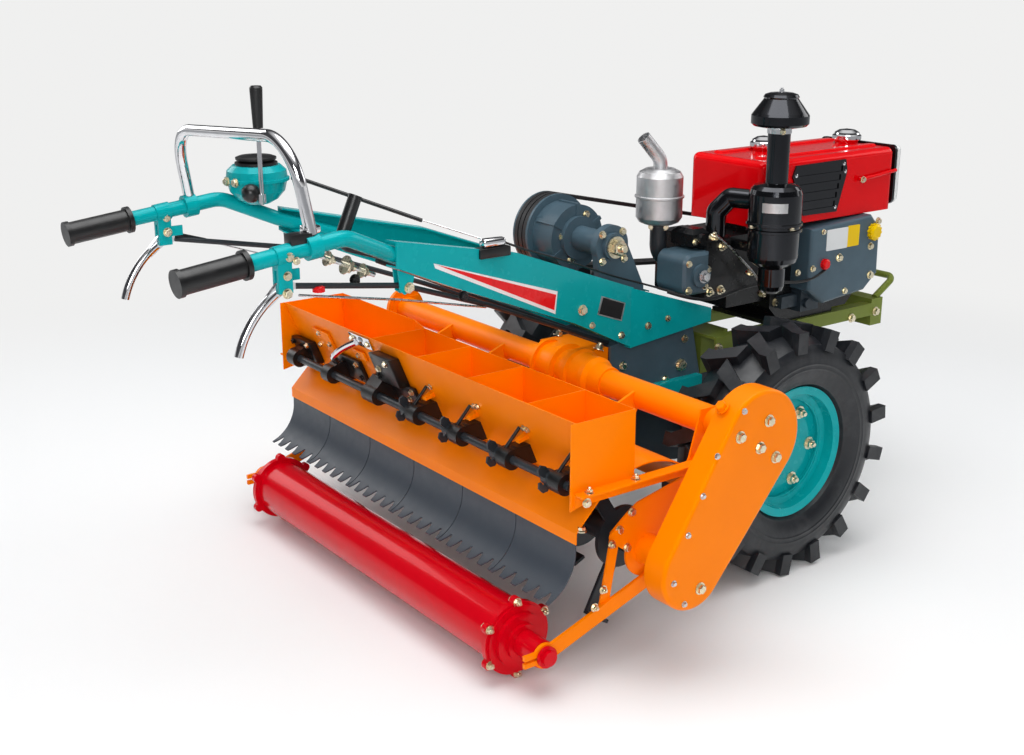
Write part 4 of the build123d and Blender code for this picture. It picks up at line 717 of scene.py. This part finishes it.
flash_border = [(-919, 879), (-534, 751), (-541, 698), (-915, 868)]
plate_corners = [(-377, 712), (-286, 678), (-299, 634), (-391, 668)]
inner_corners = [(-371, 707), (-291, 677), (-303, 639), (-385, 669)]
flash_white = enamel("white_border_paint", (0.80, 0.80, 0.80), 0.3, 0.3, 0.0)
plate_black = enamel("bare_plate_black", (0.012, 0.012, 0.013), 0.3, 0.2, 0.0)
flash = [(-911, 875), (-539, 744), (-545, 708)]
frame_seats = [(-447, 690, 10), (-410, 645, 6.5), (-299, 598, 7.5), (-205, 606, 7.5), (-138, 615, 6.5)]
for side, hand in ((1, "right"), (-1, "left")):
    dress(smooth(web_patch(flash_border, side, 0.1, 0.3)), "flash_border_" + hand, flash_white)
    dress(smooth(web_patch(flash, side, 0.4, 0.3)), "flash_red_" + hand, red_plastic)
    web_seats = [(side * web_x(y), y, z, size) for y, z, size in frame_seats]
    fasten("frame_bolts_" + hand, bolt, web_seats, (side, 0, 0), zinc)
dress(smooth(web_patch(plate_corners, 1, 0.1, 0.8)), "frame_plate_rim", plate_metal)
dress(smooth(web_patch(inner_corners, 1, 0.9, 0.3)), "frame_plate", plate_black)

# Handles. Tubes with black rubber grips, and a bent chrome-plated bar that stands between them and
# is clamped to the right-hand tube by a chrome clip over a black block.
grip_rubber = rubber("grip_rubber", (0.0055, 0.0055, 0.006), 0.36, 0.02)
black_block = rubber("black_moulding", (0.006, 0.006, 0.0065), 0.34, 0.02)
wear(grip_rubber, "grips", "lever_grips")
wear(chrome, "u_bar")
dress(smooth(softened(block_between((266, -1274, 968), (296, -1222, 988)), 2)), "foot_block", black_block)
dress(smooth(softened(block_between((262, -1238, 985), (292, -1206, 1000)), 4)), "foot_clip", chrome)
fasten("handle_bolts", bolt, [(303, -1282, 949, 7), (303, -1268, 940, 6)], RIGHT, zinc)

# Shift housing. A round cast housing with a seam round it, on the left handle, with its lever, a
# black bellows and a cable that runs to a catch on the frame's right-hand side.
wear(teal, "gear_head")
wear(chrome, "gear_lever")
fasten("gear_head_bolts", bolt, [(-235, -1152, 1012, 8), (-205, -1146, 1012, 8)], (0.2, -1, 0), zinc)
bpy.ops.object.select_all(action="DESELECT")
bpy.ops.mesh.primitive_uv_sphere_add(segments=20, ring_count=12, radius=0.021,
                                     location=spot(-168, -1128, 992))
knob = bpy.context.object
pick_faces(knob, lambda face: face.normal.y < -0.8)
bpy.ops.transform.resize(value=(1, 0.6, 1))
bpy.ops.object.mode_set(mode="OBJECT")
dress(smooth(knob), "lever_foot_knob", black_block)
run_of("head_cable_boot", [(-205, -1006, 1014), (-188, -990, 1008)], 8, black_rubber, bends=False)
run_of("head_cable_sleeve", [(-190, -992, 1009), (72, -836, 935)], 4.5, black_rubber, bends=False)
run_of("head_cable_wire", [(70, -837, 936), (210, -756, 902)], 1.6, steel, bends=False)
dress(smooth(softened(block_between((196, -787, 866), (226, -704, 888)), 3)), "catch_block", black_block)
dress(smooth(softened(block_between((199, -774, 888), (223, -714, 908)), 7, 3)), "catch_cover", chrome)
run_of("engine_wires", [(208, -716, 896), (192, -650, 868), (160, -520, 824), (124, -380, 772),
                        (104, -290, 736), (130, -190, 706), (165, -150, 690)], 2.6, black_rubber)

# Levers and rods. Chrome-plated brake levers under the handles, with long dark rods that run forward
# under the frame, and thin bright ones beside them. A red knob sits on the thin rod at the right,
# and three nuts on a short rod inside it.
wear(chrome, "brake_levers")
wear(dark_iron, "control_rods", "second_lever")
fasten("lever_bolts_right", bolt, [(298, -1286, 912, 7), (298, -1288, 878, 8)], RIGHT, zinc)
fasten("lever_bolts_left", bolt, [(-273, -1285, 939, 7), (-273, -1285, 907, 8)], RIGHT, zinc)
run_of("left_rod_boot", [(-285, -1262, 897), (-285, -1192, 875)], 6, black_rubber, bends=False)
run_of("left_rod_wire", [(-285, -1194, 876), (-270, -1052, 827)], 1.8, steel, bends=False)
run_of("right_rod", [(285, -1257, 868), (270, -1024, 822), (150, -720, 736)], 2.6, steel, bends=False)
dress(smooth(ribbed_cap((280, -1211, 872), UP, 11, 9)), "rod_knob", red_plastic)
fasten("guide_bolts", bolt, [(251, -986, 838, 9)], RIGHT, zinc)
fasten("rod_clamps", bolt, [(244, -1110, 871, 9), (244, -846, 799, 9)], RIGHT, engine_black)
SPRING_X = 238
SPRING_WAY = (0, 0.91, -0.41)
run_of("spring_rod", [(SPRING_X, -1196, 934), (SPRING_X, -1060, 873)], 5, steel, bends=False)
spring_seats = [(-1168, 921, 11), (-1128, 903, 14), (-1090, 886, 11)]
fasten("spring_nuts", nut, on_face(SPRING_X, spring_seats), SPRING_WAY, zinc)

# Main tube and chain case. The seeder hangs on one orange tube. The case at its right end holds the
# chain to the rotor, a welded shell closed by a flat cover with large bolts and small screws.
CASE_COVER_X = 714
orange = enamel("orange_enamel", (1.0, 0.225, 0.0), 0.32, 0.02)
wear(orange, "main_tube", "chain_case_back", "chain_case_cover")
case_bolts = [(-388, 553), (-473, 534), (-411, 497), (-361, 465), (-571, 216)]
case_screws = [(-464, 589), (-538, 506), (-574, 426), (-612, 348), (-648, 249), (-615, 192)]
fasten("case_bolts", bolt, [(CASE_COVER_X, y, z, 10.5) for y, z in case_bolts], RIGHT, zinc)
fasten("case_screws", bolt, [(CASE_COVER_X, y, z, 5.5) for y, z in case_screws], RIGHT, steel)
fasten("case_filler", bolt, [(672, -485, 590, 12)], (0, -0.7, 0.7), orange)
fasten("tube_clamp_bolts", nut, [(100, -341, 560, 10), (-60, -341, 560, 10)], (0, 0.4, 1), zinc)

# Side plates and rotor. Orange plates carry the tine rotor between them under an orange hood, and
# arms bolted to them hold the press roller. The main tube's flange is bolted to the left one.
PLATE_X = (-699, 566)
ARM_X = (-711, 578)
TUBE_YZ = (-400, 512)
FLANGE_BOLT_R = 48
wear(orange, "seeder_side_plates", "rotor_hood", "roller_arms")
wear(dark_iron, "rotor")
plate_seats = [(-637, 357, 8), (-671, 324, 8), (-647, 277, 8)]
arm_seats = [(-702, 303, 7), (-558, 243, 8), (-723, 204, 7), (-746, 169, 7)]
fasten("side_plate_bolts", bolt, on_face(PLATE_X[1], plate_seats), RIGHT, zinc)
fasten("arm_bolts", nut, on_face(ARM_X[1], arm_seats), RIGHT, zinc)
fasten("shelf_bolts", bolt, [(560, -770, 345, 9)], UP, zinc)
fasten("left_plate_bolts", bolt, on_face(PLATE_X[0], plate_seats), LEFT, zinc)
fasten("left_arm_bolts", nut, on_face(ARM_X[0], arm_seats), LEFT, zinc)
fasten("left_flange_bolts", bolt, six_round(ARM_X[0], *TUBE_YZ, FLANGE_BOLT_R, 7.5), LEFT, zinc)

# Hopper. Five open bins of folded orange sheet on two angle bars. Seeds fall through the metering
# units at its back wall, which one black shaft drives through winged hubs. At its left end stand a
# bearing, a winged plate, a clamp and a bright handle.
ANGLE_TOP = 437
ANGLE_MIDDLE_X = 581
WALL_WAY = (0, -1, -0.42)
wear(orange, "hopper", "hopper_angles")
wear(black_block, "metering_units")
wear(dark_iron, "metering_shaft")
angle_seats = [(ANGLE_MIDDLE_X, -768, ANGLE_TOP, 7.5), (ANGLE_MIDDLE_X, -641, ANGLE_TOP, 7.5)]
fasten("angle_bolts", nut, angle_seats, UP, zinc)
fasten("angle_end_bolt", bolt, [(596, -788, 425, 8)], RIGHT, zinc)


def wall_y(z):
    """The back wall of the hopper leans out towards its top."""
    return -722 - 72 * (z - 418) / 170


def on_wall(seats, size):
    """Seats (x, z, how far out) on the hopper's back wall."""
    return [(x, wall_y(z) - out, z, size) for x, z, out in seats]


def wall_plate(x_range, z_range, thickness):
    """A plate that lies on the hopper's leaning back wall, with its edges rounded."""
    plate = block_between((x_range[0], -thickness, z_range[0]), (x_range[1], 0, z_range[1]))
    for vertex in plate.data.vertices:
        vertex.co.y += wall_y(vertex.co.z * 1000) / 1000
    return softened(plate, min(5, thickness / 3))


wall_seats = [(-18, 513, 1), (164, 513, 1), (179, 516, 1), (352, 513, 1), (365, 513, 1), (537, 513, 1)]
fasten("wall_bolts", bolt, on_wall(wall_seats, 6), WALL_WAY, zinc)
for name, x_range, z_range, thickness, finish in (
        ("end_bearing_plate", (-708, -600), (426, 492), 26, black_block),
        ("winged_plate", (-484, -352), (430, 496), 14, black_block),
        ("clamp_plate", (-278, -98), (430, 486), 12, black_block),
        ("clamp_block", (-220, -124), (482, 562), 34, black_block),
        ("bracket_plate", (-566, -478), (488, 546), 9, orange),
        ("small_bracket", (-364, -306), (506, 532), 9, orange),
        ("handle_flange", (-346, -246), (552, 584), 6, chrome)):
    dress(smooth(wall_plate(x_range, z_range, thickness)), name, finish)
black_seats = [(-692, 478, 26), (-434, 482, 14), (-366, 446, 14), (-206, 500, 34)]
zinc_seats = [(-692, 440, 26), (-612, 482, 26), (-470, 444, 14), (-366, 484, 14), (-191, 523, 34),
              (-144, 547, 34), (-264, 444, 12), (-110, 474, 12), (-134, 450, 12)]
orange_bracket_seats = [(-530, 536, 9), (-490, 512, 9), (-551, 498, 9), (-335, 519, 9)]
fasten("plate_bolts_black", bolt, on_wall(black_seats, 7), WALL_WAY, engine_black)
fasten("plate_bolts", bolt, on_wall(zinc_seats, 7), WALL_WAY, zinc)
fasten("bracket_bolts", bolt, on_wall(orange_bracket_seats, 6), WALL_WAY, zinc)
run_of("unit_handle", [(-403, -800, 492), (-392, -820, 505), (-364, -826, 527), (-330, -812, 552),
                       (-301, -800, 566)], 9, chrome)
fasten("unit_handle_bolts", bolt, on_wall([(-334, 568, 6), (-258, 568, 6)], 7), WALL_WAY, zinc)

# Flaps and press roller. Six grey rubber flaps hang behind the rotor and level the soil in front of
# a welded red roller, whose end rings are bolted on through six ears.
RING_X = (-611, 479)
RING_T = 14
ROLLER_YZ = (-877, 96)
EAR_CIRCLE_R = 84
flap_rubber = rubber("grey_flap_rubber", (0.040, 0.050, 0.066), 0.42, 0.15)
roller_red = enamel("roller_red_enamel", (0.62, 0.0004, 0.008), 0.18, 0.22, 0.02)
wear(flap_rubber, "flaps")
wear(roller_red, "roller")
for name, pattern, x, way in (
        ("roller_bolts_right", nut, RING_X[1], RIGHT),
        ("roller_bolts_left", nut, RING_X[0], LEFT),
        ("roller_bolts_inside", bolt, RING_X[1] - RING_T, LEFT)):
    fasten(name, pattern, six_round(x, *ROLLER_YZ, EAR_CIRCLE_R, 7.5, -90), way, zinc, "press_roller")
